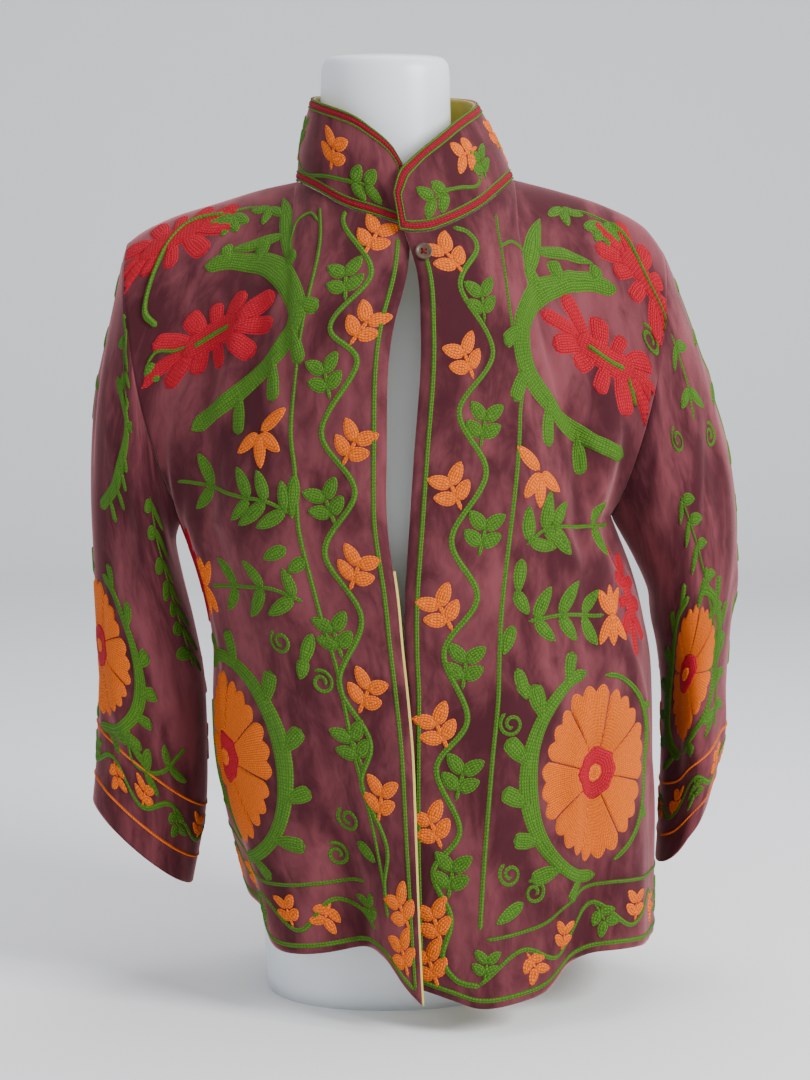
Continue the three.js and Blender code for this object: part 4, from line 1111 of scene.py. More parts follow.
def stitch_back(work):
    """The back repeats the fronts' flowers to each side of a vine with sprigs in its middle."""
    cloth = work.cloth
    top = cloth.hem(0.0, -1)

    def drift(b):
        """How far the middle of the pattern stays from the panel's own middle line."""
        return -15 * bell(b + 10, 90)

    for way in (-1, 1):
        def at(a, b):
            return np.array([way * a, b])

        arc = smooth_path([at(176, 196), at(140, 205), at(104, 196), at(84, 168), at(88, 128),
                           at(118, 90), at(172, 58)])
        acanthus(work, arc, 13, CRESCENT_LOBES, -way, widest=0.38)
        work.leaf(at(98, 206), 90 + 6 * way, 48, 17, GREEN)
        bar_flower(work, at(158, 134), -26 * way)
        bar_flower(work, at(196, 232), 60 * way, 0.9, bar=False)
        star(work, at(114, 40), [90 - way * turn for turn in (50, -130, 180, 128)])
        for level, pairs in ((-12, 5), (-96, 4)):
            branch(work, [at(62, level), at(100, level + 12), at(180, level + 14)], pairs)
        bar_flower(work, at(206, -84), 90, 0.75, petals=9, bar=False)
        curl(work, at(74, -140), 12, 120, 1.5, way)
        arcs = ((100, 275, 9), (-70, 85, 3.5)) if way > 0 else ((80, -95, 9), (250, 95, 3.5))
        wreathed_flower(work, at(160, -236), 60, 76, arcs)
        curl(work, at(66, -300), 11, 120, 1.5, way)
        curl(work, at(84, -322), 11, 120, 1.5, -way)
        palmette(work, at(120, top - 34), [270 + way * t for t in (-72, -36, 0, 36, 75)])
        palmette(work, at(60, top - 40), [270 + way * t for t in (-60, 0, 78)], 20, 11)
        work.ribbon(smooth_path([at(60, top - 40), at(90, top - 30), at(120, top - 34)]), 1.8,
                    GREEN)
    heights = np.linspace(cloth.hem(0.0) + 62, top - 16, 16)
    vine = smooth_path([((14 if i % 2 else -14) + drift(b), b) for i, b in enumerate(heights)])
    work.ribbon(vine, VINE_HALF, GREEN, step=2.6)
    for i, b in enumerate(heights[1:-1]):
        side = 1 if i % 2 else -1
        sprig(work, (-side * 12 + drift(b), b - 4), 90 + side * 24, ORANGE if i % 2 else GREEN, 0.9)
    for way in (-1, 1):
        work.ribbon([(way * 42 + drift(b), b) for b in np.linspace(heights[0] - 2, top - 14, 60)],
                    LINE_HALF, GREEN)
    stitch_hem(work, 0)


def stitch_sleeve(work, side):
    """Leaves down the sleeve, flowers and a border round the cuff."""
    cloth = work.cloth
    seen = cloth.seen
    for up in (25, 73):
        work.ribbon([(a, up) for a in np.linspace(-200, 200, 100)], 1.4, ORANGE)
    turns = np.arange(-200, 210, 36)
    points = [(a, 60 if i % 2 else 40) for i, a in enumerate(turns)]
    work.ribbon(smooth_path(points, 12), 2.4, GREEN, step=2.8)
    for i, (a, b) in enumerate(points[:-1]):
        sprig(work, (a + 2, b), -70 if i % 2 else 80, GREEN if i % 3 == 0 else ORANGE, 0.6)
    arcs = ((80, -85, 7), (100, 262, 7))
    if side < 0:
        branch(work, seen([(-217, 450), (-206, 390), (-192, 340), (-178, 292)]), 7, 30, 12)
        wreathed_flower(work, seen((-262, 312)), 52, 60, arcs)
        branch(work, seen([(-238, 236), (-236, 206), (-220, 193), (-203, 196), (-186, 216)]), 3,
               24, 11)
        branch(work, seen([(-232, 640), (-240, 590), (-238, 530)]), 3, 30, 13)
        acanthus(work, smooth_path(seen([(-246, 560), (-238, 515), (-246, 470), (-262, 440)])),
                 8, CRESCENT_LOBES, 1, 0.6)
        behind = -118
        outer, pairs = [(4, 500), (-6, 430), (6, 350)], 3
    else:
        branch(work, seen([(272, 450), (286, 410), (300, 350), (306, 290), (305, 235)]), 8, 28, 12)
        wreathed_flower(work, (-132, 165), 50, 60, arcs)
        for x, z, way in ((269, 502, 1), (298, 506, -1)):
            curl(work, seen((x, z)), 12, 90, 1.5, way)
        branch(work, seen([(262, 600), (276, 560), (284, 520)]), 2, 30, 13)
        behind = 118
        outer, pairs = [(2, 500), (-8, 400), (6, 290), (0, 200), (4, 110)], 8
    branch(work, outer, pairs, 30, 13)
    for b in (540, 575):
        palmette(work, (0, b), (210, 250, 290, 330), 24, 13)
    wreathed_flower(work, (behind, 250), 46, 56, arcs)
    branch(work, [(behind * 0.5, 330), (behind * 0.55, 380), (behind * 0.6, 460)], 4, 28, 12)
    branch(work, [(behind * 1.3, 340), (behind * 1.3, 400), (behind * 1.2, 450)], 3, 28, 12)
    for b in (130, 190, 400):
        star(work, (behind * 1.45, b), (40, 140, 220, 320), 24)
        curl(work, (behind * 0.6, b + 10), 11, 120, 1.5, side)


def stitch_collar(work):
    """A crimson braid round the collar between thin green lines, and sprigs on a vine."""
    cloth = work.cloth
    for inset, half, thread in ((1.1, 1.1, GREEN), (4.9, 3.0, BRAID), (8.8, 1.1, GREEN)):
        work.ribbon(cloth.inset_outline(inset), half, thread, step=2.5)
    ends = np.sort(cloth.a[-1][[0, -1]])
    seen = cloth.seen
    for vine in (
        [(-86, 778), (-81, 757), (-71, 745), (-50, 743), (-34, 739), (-18, 731)],
        [(84, 764), (86, 737), (68, 733), (50, 730)],
    ):
        work.ribbon(smooth_path(seen(vine)), 1.9, GREEN)
    sprig(work, seen((-50, 749)), 84, ORANGE, 0.85)
    sprig(work, seen((-38, 741)), 4, GREEN, 0.85)
    sprig(work, seen((84, 770)), 172, ORANGE, 0.82)
    sprig(work, seen((62, 733)), 184, GREEN, 0.82)
    sprig(work, seen((92, 740)), 80, GREEN, 0.72)
    middle = ends.mean()
    turns = np.arange(-5, 6) * 28.0
    points = [(middle + a, 46 if i % 2 else 30) for i, a in enumerate(turns)]
    work.ribbon(smooth_path(points, 12), 1.9, GREEN, step=2.6)
    for i, (a, b) in enumerate(points):
        sprig(work, (a, b), -80 if i % 2 else 84, ORANGE if i % 4 < 2 else GREEN, 0.72)


# ------------------------------------------------------------------ materials
def new_material(name):
    look = bpy.data.materials.new(name)
    look.use_nodes = True
    tree = look.node_tree
    return look, tree, tree.nodes["Principled BSDF"]


def add_node(tree, kind, settings=None, **inputs):
    """A shader node with its settings and its inputs, which are values or other sockets."""
    made = tree.nodes.new(kind)
    for name, value in (settings or {}).items():
        setattr(made, name, value)
    for name, value in inputs.items():
        key = int(name[1:]) if name[0] == "_" and name[1:].isdigit() else name.replace("_", " ")
        socket = made.inputs[key]
        if isinstance(value, bpy.types.NodeSocket):
            tree.links.new(value, socket)
        else:
            socket.default_value = value
    return made


def maths(tree, operation, *values):
    inputs = {f"_{i}": value for i, value in enumerate(values)}
    return add_node(tree, "ShaderNodeMath", {"operation": operation}, **inputs).outputs[0]


def base_colour(tree, shader, factor, dark, light):
    """Gives a shader a colour between two others, by a factor."""
    mixed = add_node(tree, "ShaderNodeMix", {"data_type": "RGBA"}, _0=factor, _6=(*dark, 1),
                     _7=(*light, 1))
    tree.links.new(mixed.outputs[2], shader.inputs["Base Color"])


def noise(tree, vector, scale, detail, flat=False, **more):
    """A noise texture, in two dimensions where it is flat."""
    settings = {"noise_dimensions": "2D"} if flat else {}
    return add_node(tree, "ShaderNodeTexNoise", settings, Vector=vector, Scale=scale,
                    Detail=detail, **more)


def object_place(tree):
    return add_node(tree, "ShaderNodeTexCoord").outputs["Object"]


def cloth_place(tree):
    return add_node(tree, "ShaderNodeUVMap", {"uv_map": "cloth"}).outputs["UV"]


def new_group(name, inputs, outputs):
    """A node group with named sockets, each (kind, name, default)."""
    group = bpy.data.node_groups.new(name, "ShaderNodeTree")
    for kind, label, default in inputs:
        socket = group.interface.new_socket(name=label, in_out="INPUT", socket_type=kind)
        if default is not None:
            socket.default_value = default
    for kind, label in outputs:
        group.interface.new_socket(name=label, in_out="OUTPUT", socket_type=kind)
    return group, group.nodes.new("NodeGroupInput"), group.nodes.new("NodeGroupOutput")


def chain_stitch_group():
    """Rows of linked loops: a height, and a painted shade that darkens the grooves between the loops,
    with random flecks, from stitch coordinates.
    """
    group, given, put = new_group(
        "Chain Stitch",
        [("NodeSocketVector", "Stitches", None), ("NodeSocketFloat", "Unevenness", 0.35)],
        [("NodeSocketFloat", "Height"), ("NodeSocketFloat", "Groove Shade And Flecks")])
    wobble = noise(group, given.outputs["Stitches"], 0.6, 2.0, flat=True)
    moved = add_node(group, "ShaderNodeVectorMath", {"operation": "SCALE"},
                     _0=wobble.outputs["Color"], Scale=given.outputs["Unevenness"])
    place = add_node(group, "ShaderNodeVectorMath", {"operation": "ADD"},
                     _0=given.outputs["Stitches"], _1=moved.outputs[0])
    parts = add_node(group, "ShaderNodeSeparateXYZ", Vector=place.outputs[0])
    across = maths(group, "SUBTRACT", maths(group, "FRACT", parts.outputs[0]), 0.5)
    side = maths(group, "MULTIPLY", maths(group, "ABSOLUTE", across), 2.0)
    slanted = maths(group, "ADD", parts.outputs[1], maths(group, "MULTIPLY", side, 0.55))
    along = maths(group, "FRACT", slanted)
    loop = maths(group, "SINE", maths(group, "MULTIPLY", along, math.pi))
    row = maths(group, "SUBTRACT", 1.0, maths(group, "POWER", side, 3.0))
    height = maths(group, "MULTIPLY", maths(group, "POWER", loop, 0.5), row)
    fleck = noise(group, place.outputs[0], 0.9, 3.0, flat=True, Roughness=0.7)
    # Painted shade: the colour darkens where the loops' height falls, between rows and between
    # stitches; the flecks are the thread's own speckle.
    shade = maths(group, "MULTIPLY", maths(group, "ADD", height, 0.25),
                  maths(group, "ADD", fleck.outputs["Fac"], 0.3))
    group.links.new(height, put.inputs["Height"])
    group.links.new(shade, put.inputs["Groove Shade And Flecks"])
    return group


def nap_group():
    """Velvet's brushed nap: soft patches, finer mottling and the pile's grain."""
    group, given, put = new_group(
        "Velvet Nap",
        [("NodeSocketVector", "Cloth", None), ("NodeSocketVector", "Place", None)],
        [("NodeSocketFloat", "Patches"), ("NodeSocketFloat", "Grain")])
    brushed = add_node(group, "ShaderNodeMapping", Vector=given.outputs["Cloth"],
                       Scale=(17.0, 8.0, 1.0))
    patches = noise(group, brushed.outputs[0], 1.0, 4.0, flat=True, Roughness=0.55,
                    Distortion=0.35)
    stretched = add_node(group, "ShaderNodeMapping", Vector=given.outputs["Cloth"],
                         Scale=(70.0, 34.0, 1.0))
    mottling = noise(group, stretched.outputs[0], 1.0, 5.0, flat=True, Roughness=0.62,
                     Distortion=0.5)
    both = maths(group, "ADD", maths(group, "MULTIPLY", patches.outputs["Fac"], 0.74),
                 maths(group, "MULTIPLY", mottling.outputs["Fac"], 0.26))
    ramp = add_node(group, "ShaderNodeMapRange", {"interpolation_type": "SMOOTHSTEP"},
                    Value=both, From_Min=0.36, From_Max=0.7)
    grain = noise(group, given.outputs["Place"], 1400.0, 2.0, Roughness=0.6)
    group.links.new(ramp.outputs[0], put.inputs["Patches"])
    group.links.new(grain.outputs["Fac"], put.inputs["Grain"])
    return group


def add_group(tree, group, **inputs):
    return add_node(tree, "ShaderNodeGroup", {"node_tree": group}, **inputs)


def bump(tree, shader, height, strength, distance):
    made = add_node(tree, "ShaderNodeBump", Height=height, Strength=strength, Distance=distance)
    tree.links.new(made.outputs["Normal"], shader.inputs["Normal"])


def velvet_look(colours, nap):
    look, tree, shader = new_material("Velvet")
    brushed = add_group(tree, nap, Cloth=cloth_place(tree), Place=object_place(tree))
    base_colour(tree, shader, brushed.outputs["Patches"], colours.velvet_dark,
                colours.velvet_light)
    shader.inputs["Roughness"].default_value = 0.9
    shader.inputs["Specular IOR Level"].default_value = 0.15
    shader.inputs["Sheen Weight"].default_value = 0.75
    shader.inputs["Sheen Roughness"].default_value = 0.36
    shader.inputs["Sheen Tint"].default_value = (*colours.velvet_sheen, 1)
    bump(tree, shader, brushed.outputs["Grain"], 0.35, 0.0006)
    return look


def lining_look(colours):
    look, tree, shader = new_material("Satin Lining")
    weave = add_node(tree, "ShaderNodeTexWave", {"bands_direction": "DIAGONAL"},
                     Vector=cloth_place(tree), Scale=700.0, Distortion=0.4)
    cloud = noise(tree, object_place(tree), 30.0, 3.0)
    base_colour(tree, shader, cloud.outputs["Fac"], colours.lining_dark, colours.lining_light)
    shader.inputs["Roughness"].default_value = 0.45
    shader.inputs["Sheen Weight"].default_value = 0.2
    bump(tree, shader, weave.outputs["Fac"], 0.25, 0.0003)
    return look


def thread_look(name, dark, light, stitch, unevenness):
    look, tree, shader = new_material(name)
    rows = add_group(tree, stitch, Stitches=cloth_place(tree), Unevenness=unevenness)
    # The darker colour is painted shade, laid where the loops sink between rows and between stitches.
    base_colour(tree, shader, rows.outputs["Groove Shade And Flecks"], dark, light)
    shader.inputs["Roughness"].default_value = 0.75
    shader.inputs["Specular IOR Level"].default_value = 0.2
    bump(tree, shader, rows.outputs["Height"], 0.9, 0.0011)
    return look


def form_look():
    look, tree, shader = new_material("Form Cover")
    place = object_place(tree)
    cloud = noise(tree, place, 9.0, 3.0)
    base_colour(tree, shader, cloud.outputs["Fac"], (0.66, 0.7, 0.74), (0.74, 0.77, 0.8))
    fine = noise(tree, place, 260.0, 2.0)
    shade = add_node(tree, "ShaderNodeMapRange", Value=cloud.outputs["Fac"], To_Min=0.3,
                     To_Max=0.42)
    tree.links.new(shade.outputs[0], shader.inputs["Roughness"])
    bump(tree, shader, fine.outputs["Fac"], 0.05, 0.0003)
    return look


def coconut_look():
    look, tree, shader = new_material("Coconut")
    stretched = add_node(tree, "ShaderNodeMapping", Vector=object_place(tree),
                         Scale=(900.0, 200.0, 260.0))
    streaks = noise(tree, stretched.outputs[0], 1.0, 5.0, Roughness=0.7)
    base_colour(tree, shader, streaks.outputs["Fac"], (0.014, 0.008, 0.005), (0.11, 0.06, 0.03))
    shader.inputs["Roughness"].default_value = 0.38
    bump(tree, shader, streaks.outputs["Fac"], 0.2, 0.0003)
    return look


def floor_look():
    look, tree, shader = new_material("Studio Floor")
    cloud = noise(tree, object_place(tree), 1.3, 2.0)
    base_colour(tree, shader, cloud.outputs["Fac"], (0.82, 0.83, 0.84), (0.87, 0.87, 0.88))
    shader.inputs["Roughness"].default_value = 0.85
    return look


# Name, darker colour (painted shade for the grooves between the loops) and unevenness of each thread,
# in the order of their slots.
THREADS = {
    "green": ("Green Thread", (0.02, 0.075, 0.006), 0.35),
    "orange": ("Orange Thread", (0.3, 0.05, 0.004), 0.35),
    "crimson": ("Crimson Thread", (0.2, 0.002, 0.006), 0.35),
    "braid": ("Crimson Braid", (0.14, 0.002, 0.008), 0.15),
}
_looks = {}


def look_of(name):
    """A finished material, made once from the panel's colours."""
    if not _looks:
        colours = bpy.context.scene.jacket_colours
        stitch, nap = chain_stitch_group(), nap_group()
        _looks["velvet"] = velvet_look(colours, nap)
        _looks["lining"] = lining_look(colours)
        for thread, (label, dark, unevenness) in THREADS.items():
            _looks[thread] = thread_look(label, dark, getattr(colours, thread), stitch,
                                         unevenness)
        _looks["form"] = form_look()
        _looks["coconut"] = coconut_look()
        _looks["floor"] = floor_look()
    return _looks[name]


def threads():
    return [look_of(name) for name in THREADS]


# ------------------------------------------------------------------ properties
def colour(name, description, default):
    return FloatVectorProperty(name=name, description=description, subtype="COLOR", size=3,
                               default=default, min=0, max=1)


class JacketColours(bpy.types.PropertyGroup):
    """The jacket's colours."""

    velvet_dark: colour("Velvet, with the nap", "Where the pile lies away", (0.046, 0.0075, 0.012))
    velvet_light: colour("Velvet, against the nap", "Where the pile is brushed up",
                         (0.16, 0.04, 0.049))
    velvet_sheen: colour("Velvet sheen", "Light on the tips of the pile", (0.88, 0.4, 0.42))
    lining_dark: colour("Lining, shaded", "The satin's darker colour", (0.36, 0.27, 0.03))
    lining_light: colour("Lining", "The satin's lighter colour", (0.66, 0.55, 0.08))
    green: colour("Green thread", "Leaves, vines and lines", (0.075, 0.19, 0.01))
    orange: colour("Orange thread", "Large flowers and sprigs", (0.88, 0.165, 0.004))
    crimson: colour("Crimson thread", "Red flowers", (0.48, 0.005, 0.02))
    braid: colour("Crimson braid", "Trim round the collar", (0.32, 0.004, 0.022))


class JacketSizes(bpy.types.PropertyGroup):
    """Sizes that a maker may change."""

    button_radius: FloatProperty(name="Button radius", description="Half the button's width",
                                 default=0.0075, min=0.004, max=0.012, unit="LENGTH")
    button_depth: FloatProperty(name="Button depth", description="Its thickness at the rim",
                                default=0.0028, min=0.001, max=0.006, unit="LENGTH")
    floor_size: FloatProperty(name="Floor", description="Half the width of the studio floor",
                              default=6.0, min=2.0, max=20.0, unit="LENGTH")


# ------------------------------------------------------------------ operators
def finish_piece(obj, slot, *nodes):
    """A piece rides on the jacket's one body and stands for its CAD nodes."""
    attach(obj, "root")
    if nodes:
        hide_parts(*nodes)


MERGE = 1e-5  # metres
FORM_FLAT = math.radians(60)  # neighbours within this angle join into one quad
FORM_SMOOTH = math.radians(50)
BUTTON_SMOOTH = math.radians(35)


class JACKET_OT_form(bpy.types.Operator):
    """Rounds the dress form smoothly"""

    bl_idname = "jacket.form"
    bl_label = "Dress Form"

    def execute(self, context):
        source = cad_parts["dress_form"]
        obj = bpy.data.objects.new("form_cover", source.data.copy())
        context.scene.collection.objects.link(obj)
        select_only(obj)
        bpy.ops.object.mode_set(mode="EDIT")
        bpy.ops.mesh.select_all(action="SELECT")
        bpy.ops.mesh.remove_doubles(threshold=MERGE)
        bpy.ops.mesh.tris_convert_to_quads(face_threshold=FORM_FLAT,
                                           shape_threshold=FORM_FLAT)
        bpy.ops.object.mode_set(mode="OBJECT")
        foot = [e for e in obj.data.edges
                if all(obj.data.vertices[i].co.z < MERGE for i in e.vertices)]
        crease = obj.data.attributes.new("crease_edge", "FLOAT", "EDGE")
        for edge in foot:
            crease.data[edge.index].value = 1.0
        smooth = obj.modifiers.new("Round", "SUBSURF")
        smooth.levels = smooth.render_levels = 2
        bpy.ops.object.modifier_apply(modifier=smooth.name)
        bpy.ops.object.shade_smooth_by_angle(angle=FORM_SMOOTH)
        obj.data.materials.clear()
        obj.data.materials.append(look_of("form"))
        finish_piece(obj, "form", "dress_form")
        return {"FINISHED"}


def select_only(obj):
    bpy.ops.object.select_all(action="DESELECT")
    obj.select_set(True)
    bpy.context.view_layer.objects.active = obj


def make_velvet(name, inner="lining", closed=False):
    """A piece cut from velvet, with the colour of its inner face."""
    cloth = cloth_of(name)
    obj = cloth_object(name + "_cloth", cloth, VELVET, [look_of("velvet"), look_of(inner)],
                       closed=closed)
    finish_piece(obj, "velvet", name)


class JACKET_OT_body(bpy.types.Operator):
    """Makes the two fronts and the back"""

    bl_idname = "jacket.body"
    bl_label = "Fronts and Back"

    def execute(self, context):
        for name in PANELS:
            make_velvet(name)
        return {"FINISHED"}


class JACKET_OT_sleeves(bpy.types.Operator):
    """Makes the two sleeves"""

    bl_idname = "jacket.sleeves"
    bl_label = "Sleeves"

    def execute(self, context):
        for name in SLEEVES:
            make_velvet(name, closed=True)
        return {"FINISHED"}


class JACKET_OT_collar(bpy.types.Operator):
    """Makes the stand collar and the lining behind it"""

    bl_idname = "jacket.collar"
    bl_label = "Collar"

    def execute(self, context):
        make_velvet("collar", inner="velvet")
        cloth = cloth_of("collar")
        lining = cloth_object("collar_lining_cloth", cloth, LINING,
                              [look_of("lining"), look_of("lining")],
                              lift=-(VELVET + COLLAR_LINING_BEHIND))
        finish_piece(lining, "lining", "collar_lining")
        return {"FINISHED"}


class Facing:
    """The strip of lining behind the left front's edge, a little past it."""

    facing = -1

    def folded(self, u, v):
        panel = PANELS["front_left"]
        u = lerp(-FACING_SHOWS, FACING_WIDTH, u)
        v = v * FACING_SHARE
        point = panel.folded(u, v)
        behind = VELVET + FACING_BEHIND
        return point - normals(panel.folded, u, v, panel.facing) * behind


class JACKET_OT_facing(bpy.types.Operator):
    """Makes the lining strip that shows along the left front's edge"""

    bl_idname = "jacket.facing"
    bl_label = "Front Facing"

    def execute(self, context):
        cloth = Cloth(Facing(), 12, 110)
        obj = cloth_object("facing_left_cloth", cloth, LINING,
                           [look_of("lining"), look_of("lining")])
        finish_piece(obj, "lining", "facing_left")
        return {"FINISHED"}


BUTTON_PLACE = (35, 674)  # where its middle shows
BUTTON_RIM, BUTTON_SLOPE = 0.24, 0.1  # shares of its radius, before and down into the dish
BUTTON_DISH, BUTTON_ROUND = 0.3, 0.22  # shares of its depth: the dish, the rounded edges
HOLE_SPACING, HOLE_RADIUS = 0.23, 0.13  # shares of its radius
BUTTON_LIFT = 0.0011  # its back above the velvet, in metres as are the next three
THREAD_RADIUS = 0.00024
THREAD_SPREAD = 0.00035  # from one strand to the next
THREAD_BELOW = 0.0006  # how far a strand ends below the button's back
THREAD_EDGE, THREAD_ARCH = 0.86, (0.92, 0.12)  # shares of the button's depth
THREAD_SIDES = 6


class JACKET_OT_button(bpy.types.Operator):
    """Turns the coconut button and sews it to the right front"""

    bl_idname = "jacket.button"
    bl_label = "Button"

    def execute(self, context):
        sizes = context.scene.jacket_sizes
        radius, depth = sizes.button_radius, sizes.button_depth
        cloth = cloth_of("front_right")
        a, b = cloth.seen(BUTTON_PLACE)
        points, up, _ = cloth.place(np.array([a]), np.array([b]))
        seat, axis = Vector(points[0] * MM), Vector(up[0])
        turn = Vector((0, 0, 1)).rotation_difference(axis)
        bpy.ops.object.select_all(action="DESELECT")
        bpy.ops.mesh.primitive_cylinder_add(vertices=64, radius=radius, depth=depth,
                                            location=(0, 0, depth / 2))
        button = context.active_object
        button.name = "button_disc"
        bpy.ops.object.transform_apply(location=True)
        bpy.ops.object.mode_set(mode="EDIT")
        bpy.ops.mesh.select_all(action="DESELECT")
        bpy.ops.object.mode_set(mode="OBJECT")
        for face in button.data.polygons:
            face.select = face.normal.z > 0.9
        bpy.ops.object.mode_set(mode="EDIT")
        bpy.ops.mesh.inset(thickness=radius * BUTTON_RIM)
        bpy.ops.mesh.inset(thickness=radius * BUTTON_SLOPE, depth=-depth * BUTTON_DISH)
        bpy.ops.object.mode_set(mode="OBJECT")
        rim = button.modifiers.new("Rim", "BEVEL")
        rim.width, rim.segments, rim.limit_method = depth * BUTTON_ROUND, 3, "ANGLE"
        bpy.ops.object.modifier_apply(modifier=rim.name)
        spacing = radius * HOLE_SPACING
        for x, y in ((1, 1), (1, -1), (-1, 1), (-1, -1)):
            bpy.ops.object.select_all(action="DESELECT")
            bpy.ops.mesh.primitive_cylinder_add(vertices=16, radius=radius * HOLE_RADIUS,
                                                depth=depth * 4,
                                                location=(x * spacing, y * spacing, 0))
            drill = context.active_object
            select_only(button)
            cut = button.modifiers.new("Hole", "BOOLEAN")
            cut.operation, cut.object = "DIFFERENCE", drill
            bpy.ops.object.modifier_apply(modifier=cut.name)
            bpy.data.objects.remove(drill)
        seat += axis * BUTTON_LIFT
        button.data.transform(Matrix.Translation(seat) @ turn.to_matrix().to_4x4())
        bpy.ops.object.shade_smooth_by_angle(angle=BUTTON_SMOOTH)
        button.data.materials.clear()
        button.data.materials.append(look_of("coconut"))
        finish_piece(button, "button", "button")
        self.sew(seat, turn, spacing, depth)
        return {"FINISHED"}

    def sew(self, seat, turn, spacing, depth):
        """Two crossed loops of thread, each of three strands, through the button's holes."""
        vertices, faces, uv = [], [], []
        for x, y in ((1, 1), (1, -1)):
            start, end = Vector((-x, -y, 0)) * spacing, Vector((x, y, 0)) * spacing
            for side in np.linspace(-1, 1, 3):
                shift = (end - start).normalized().cross(Vector((0, 0, 1))) * side * THREAD_SPREAD
                path = self.strand(start, end, shift, depth)
                first = len(vertices)
                for i, point in enumerate(path):
                    ahead = (path[min(i + 1, len(path) - 1)] - path[max(i - 1, 0)]).normalized()
                    one = ahead.orthogonal().normalized()
                    two = ahead.cross(one)
                    for k in range(THREAD_SIDES):
                        angle = 2 * math.pi * k / THREAD_SIDES
                        vertices.append(seat + turn @ (point + THREAD_RADIUS * (
                            one * math.cos(angle) + two * math.sin(angle))))
                for i in range(len(path) - 1):
                    for k in range(THREAD_SIDES):
                        row = first + i * THREAD_SIDES
                        a, b = row + k, row + (k + 1) % THREAD_SIDES
                        faces.append((a, b, b + THREAD_SIDES, a + THREAD_SIDES))
                        uv += [(k, i), (k + 1, i), (k + 1, i + 1), (k, i + 1)]
        obj = mesh_object("button_thread", np.array([list(v) for v in vertices]),
                          np.array(faces), np.array(uv, float), np.zeros(len(faces)),
                          [look_of("crimson")])
        finish_piece(obj, None)

    def strand(self, start, end, shift, depth):
        """One strand's path: up through a hole, over the dish and down through the next."""
        below, edge = Vector((0, 0, THREAD_BELOW)), Vector((0, 0, depth * THREAD_EDGE))
        level, rise = THREAD_ARCH
        over = [
            start.lerp(end, t) + shift
            + Vector((0, 0, depth * (level + rise * math.sin(math.pi * t))))
            for t in (0.25, 0.5, 0.75)
        ]
        return [start + shift - below, start + shift + edge, *over,
                end + shift + edge, end + shift - below]


class JACKET_OT_embroidery(bpy.types.Operator):
    """Works the chain stitch over every piece"""

    bl_idname = "jacket.embroidery"
    bl_label = "Embroidery"

    def execute(self, context):
        plans = {
            "front_left": lambda work: stitch_front(work, -1),
            "front_right": lambda work: stitch_front(work, 1),
            "back": stitch_back,
            "sleeve_left": lambda work: stitch_sleeve(work, -1),
            "sleeve_right": lambda work: stitch_sleeve(work, 1),
            "collar": stitch_collar,
        }
        for name, plan in plans.items():
            work = Stitching(cloth_of(name))
            plan(work)
            finish_piece(work.build(name + "_stitching", threads()), None)
        return {"FINISHED"}


LIGHTS = (  # name, place, target, size and power
    ("Key", (2.3, -1.6, 1.9), (0.05, 0, 0.5), 1.2, 150),
    ("Fill", (-2.2, -1.9, 1.5), (0.0, 0, 0.5), 2.2, 26),
    ("Top", (0.3, 0.6, 2.8), (0.0, 0, 0.6), 1.8, 40),
)
SKY, SKY_STRENGTH = (0.9, 0.93, 1, 1), 0.66
SWEEP_FROM, SWEEP_RADIUS = 3.2, 0.8  # where the floor turns up into the backdrop, and how wide
LENS, LENS_SHIFT = 72.5, -0.089
LOOKS_DOWN = 3  # degrees


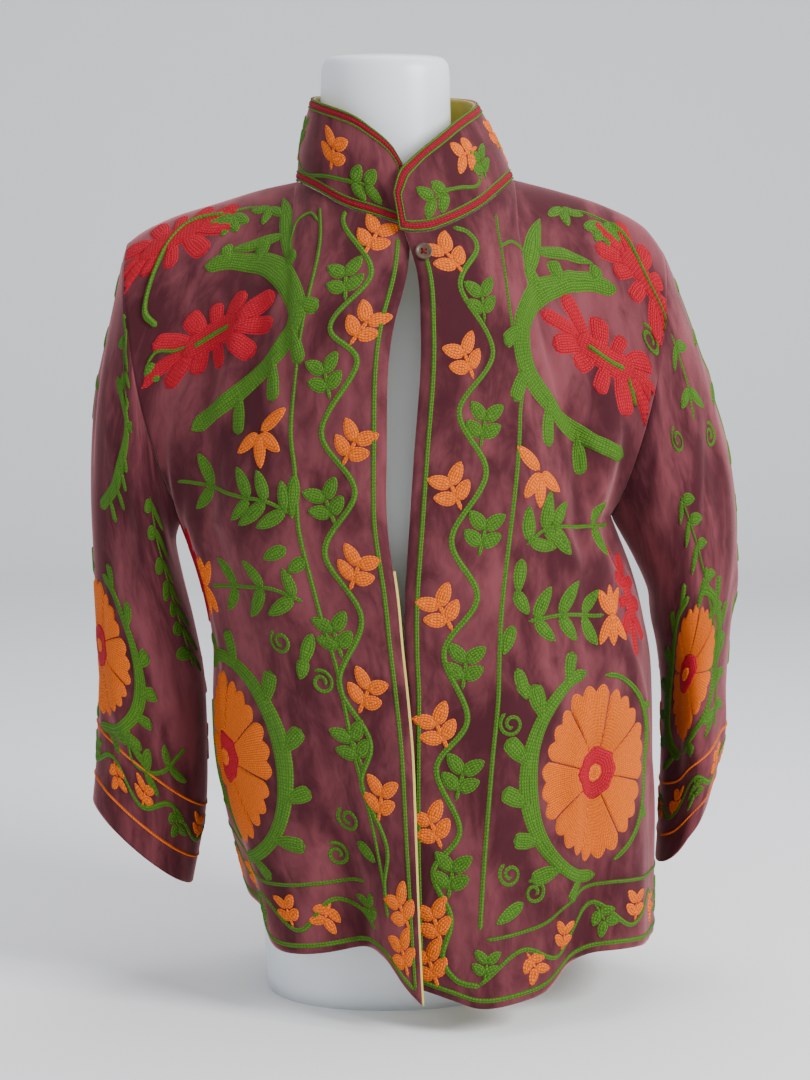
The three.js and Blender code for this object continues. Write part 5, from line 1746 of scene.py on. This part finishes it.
class JACKET_OT_stage(bpy.types.Operator):
    """Sets the floor, the soft lights and the camera"""

    bl_idname = "jacket.stage"
    bl_label = "Studio"

    def execute(self, context):
        scene = context.scene
        half = scene.jacket_sizes.floor_size
        sweep = [
            (-half, 0.0),
            *((SWEEP_FROM + SWEEP_RADIUS * math.sin(t), SWEEP_RADIUS - SWEEP_RADIUS * math.cos(t))
              for t in np.linspace(0, math.pi / 2, 13)),
            (SWEEP_FROM + SWEEP_RADIUS, half),
        ]
        vertices = [(x, y, z) for y, z in sweep for x in (-half, half)]
        faces = [(2 * i, 2 * i + 1, 2 * i + 3, 2 * i + 2) for i in range(len(sweep) - 1)]
        uv = np.zeros((4 * len(faces), 2))
        floor = mesh_object("studio_floor", np.array(vertices), np.array(faces), uv,
                            np.zeros(len(faces)), [look_of("floor")])
        for facts in LIGHTS:
            self.light(*facts)
        world = scene.world or bpy.data.worlds.new("Studio")
        scene.world = world
        world.use_nodes = True
        sky = world.node_tree.nodes["Background"]
        sky.inputs["Color"].default_value = SKY
        sky.inputs["Strength"].default_value = SKY_STRENGTH
        data = bpy.data.cameras.new("Camera")
        data.sensor_width = 36
        data.lens = LENS
        data.shift_y = LENS_SHIFT
        camera = bpy.data.objects.new("Camera", data)
        scene.collection.objects.link(camera)
        camera.location = Vector((VIEW_X, -VIEW_DISTANCE, VIEW_Z)) * MM
        camera.rotation_euler = (math.radians(90 - LOOKS_DOWN), 0, 0)
        scene.camera = camera
        return {"FINISHED"}

    def light(self, name, place, target, size, power):
        data = bpy.data.lights.new(name, "AREA")
        data.size, data.energy = size, power
        lamp = bpy.data.objects.new(name, data)
        bpy.context.scene.collection.objects.link(lamp)
        lamp.location = place
        aim = Vector(target) - Vector(place)
        lamp.rotation_euler = aim.to_track_quat("-Z", "Y").to_euler()


class JACKET_PT_panel(bpy.types.Panel):
    """Lists the jacket's pieces in the sidebar"""

    bl_label = "Velvet Jacket"
    bl_space_type = "VIEW_3D"
    bl_region_type = "UI"
    bl_category = "Jacket"

    def draw(self, context):
        layout = self.layout
        for group in (context.scene.jacket_colours, context.scene.jacket_sizes):
            for name in group.__annotations__:
                layout.prop(group, name)
        for operator in OPERATORS:
            layout.operator(operator.bl_idname)


OPERATORS = (
    JACKET_OT_form, JACKET_OT_body, JACKET_OT_sleeves, JACKET_OT_collar, JACKET_OT_facing,
    JACKET_OT_button, JACKET_OT_embroidery, JACKET_OT_stage,
)
CLASSES = (JacketColours, JacketSizes, *OPERATORS, JACKET_PT_panel)


def register():
    for cls in CLASSES:
        bpy.utils.register_class(cls)
    bpy.types.Scene.jacket_colours = PointerProperty(type=JacketColours)
    bpy.types.Scene.jacket_sizes = PointerProperty(type=JacketSizes)


def unregister():
    del bpy.types.Scene.jacket_colours
    del bpy.types.Scene.jacket_sizes
    for cls in reversed(CLASSES):
        bpy.utils.unregister_class(cls)


def main():
    register()
    bpy.ops.jacket.form()
    bpy.ops.jacket.body()
    bpy.ops.jacket.sleeves()
    bpy.ops.jacket.collar()
    bpy.ops.jacket.facing()
    bpy.ops.jacket.button()
    bpy.ops.jacket.embroidery()
    bpy.ops.jacket.stage()


if __name__ == "__main__":
    main()
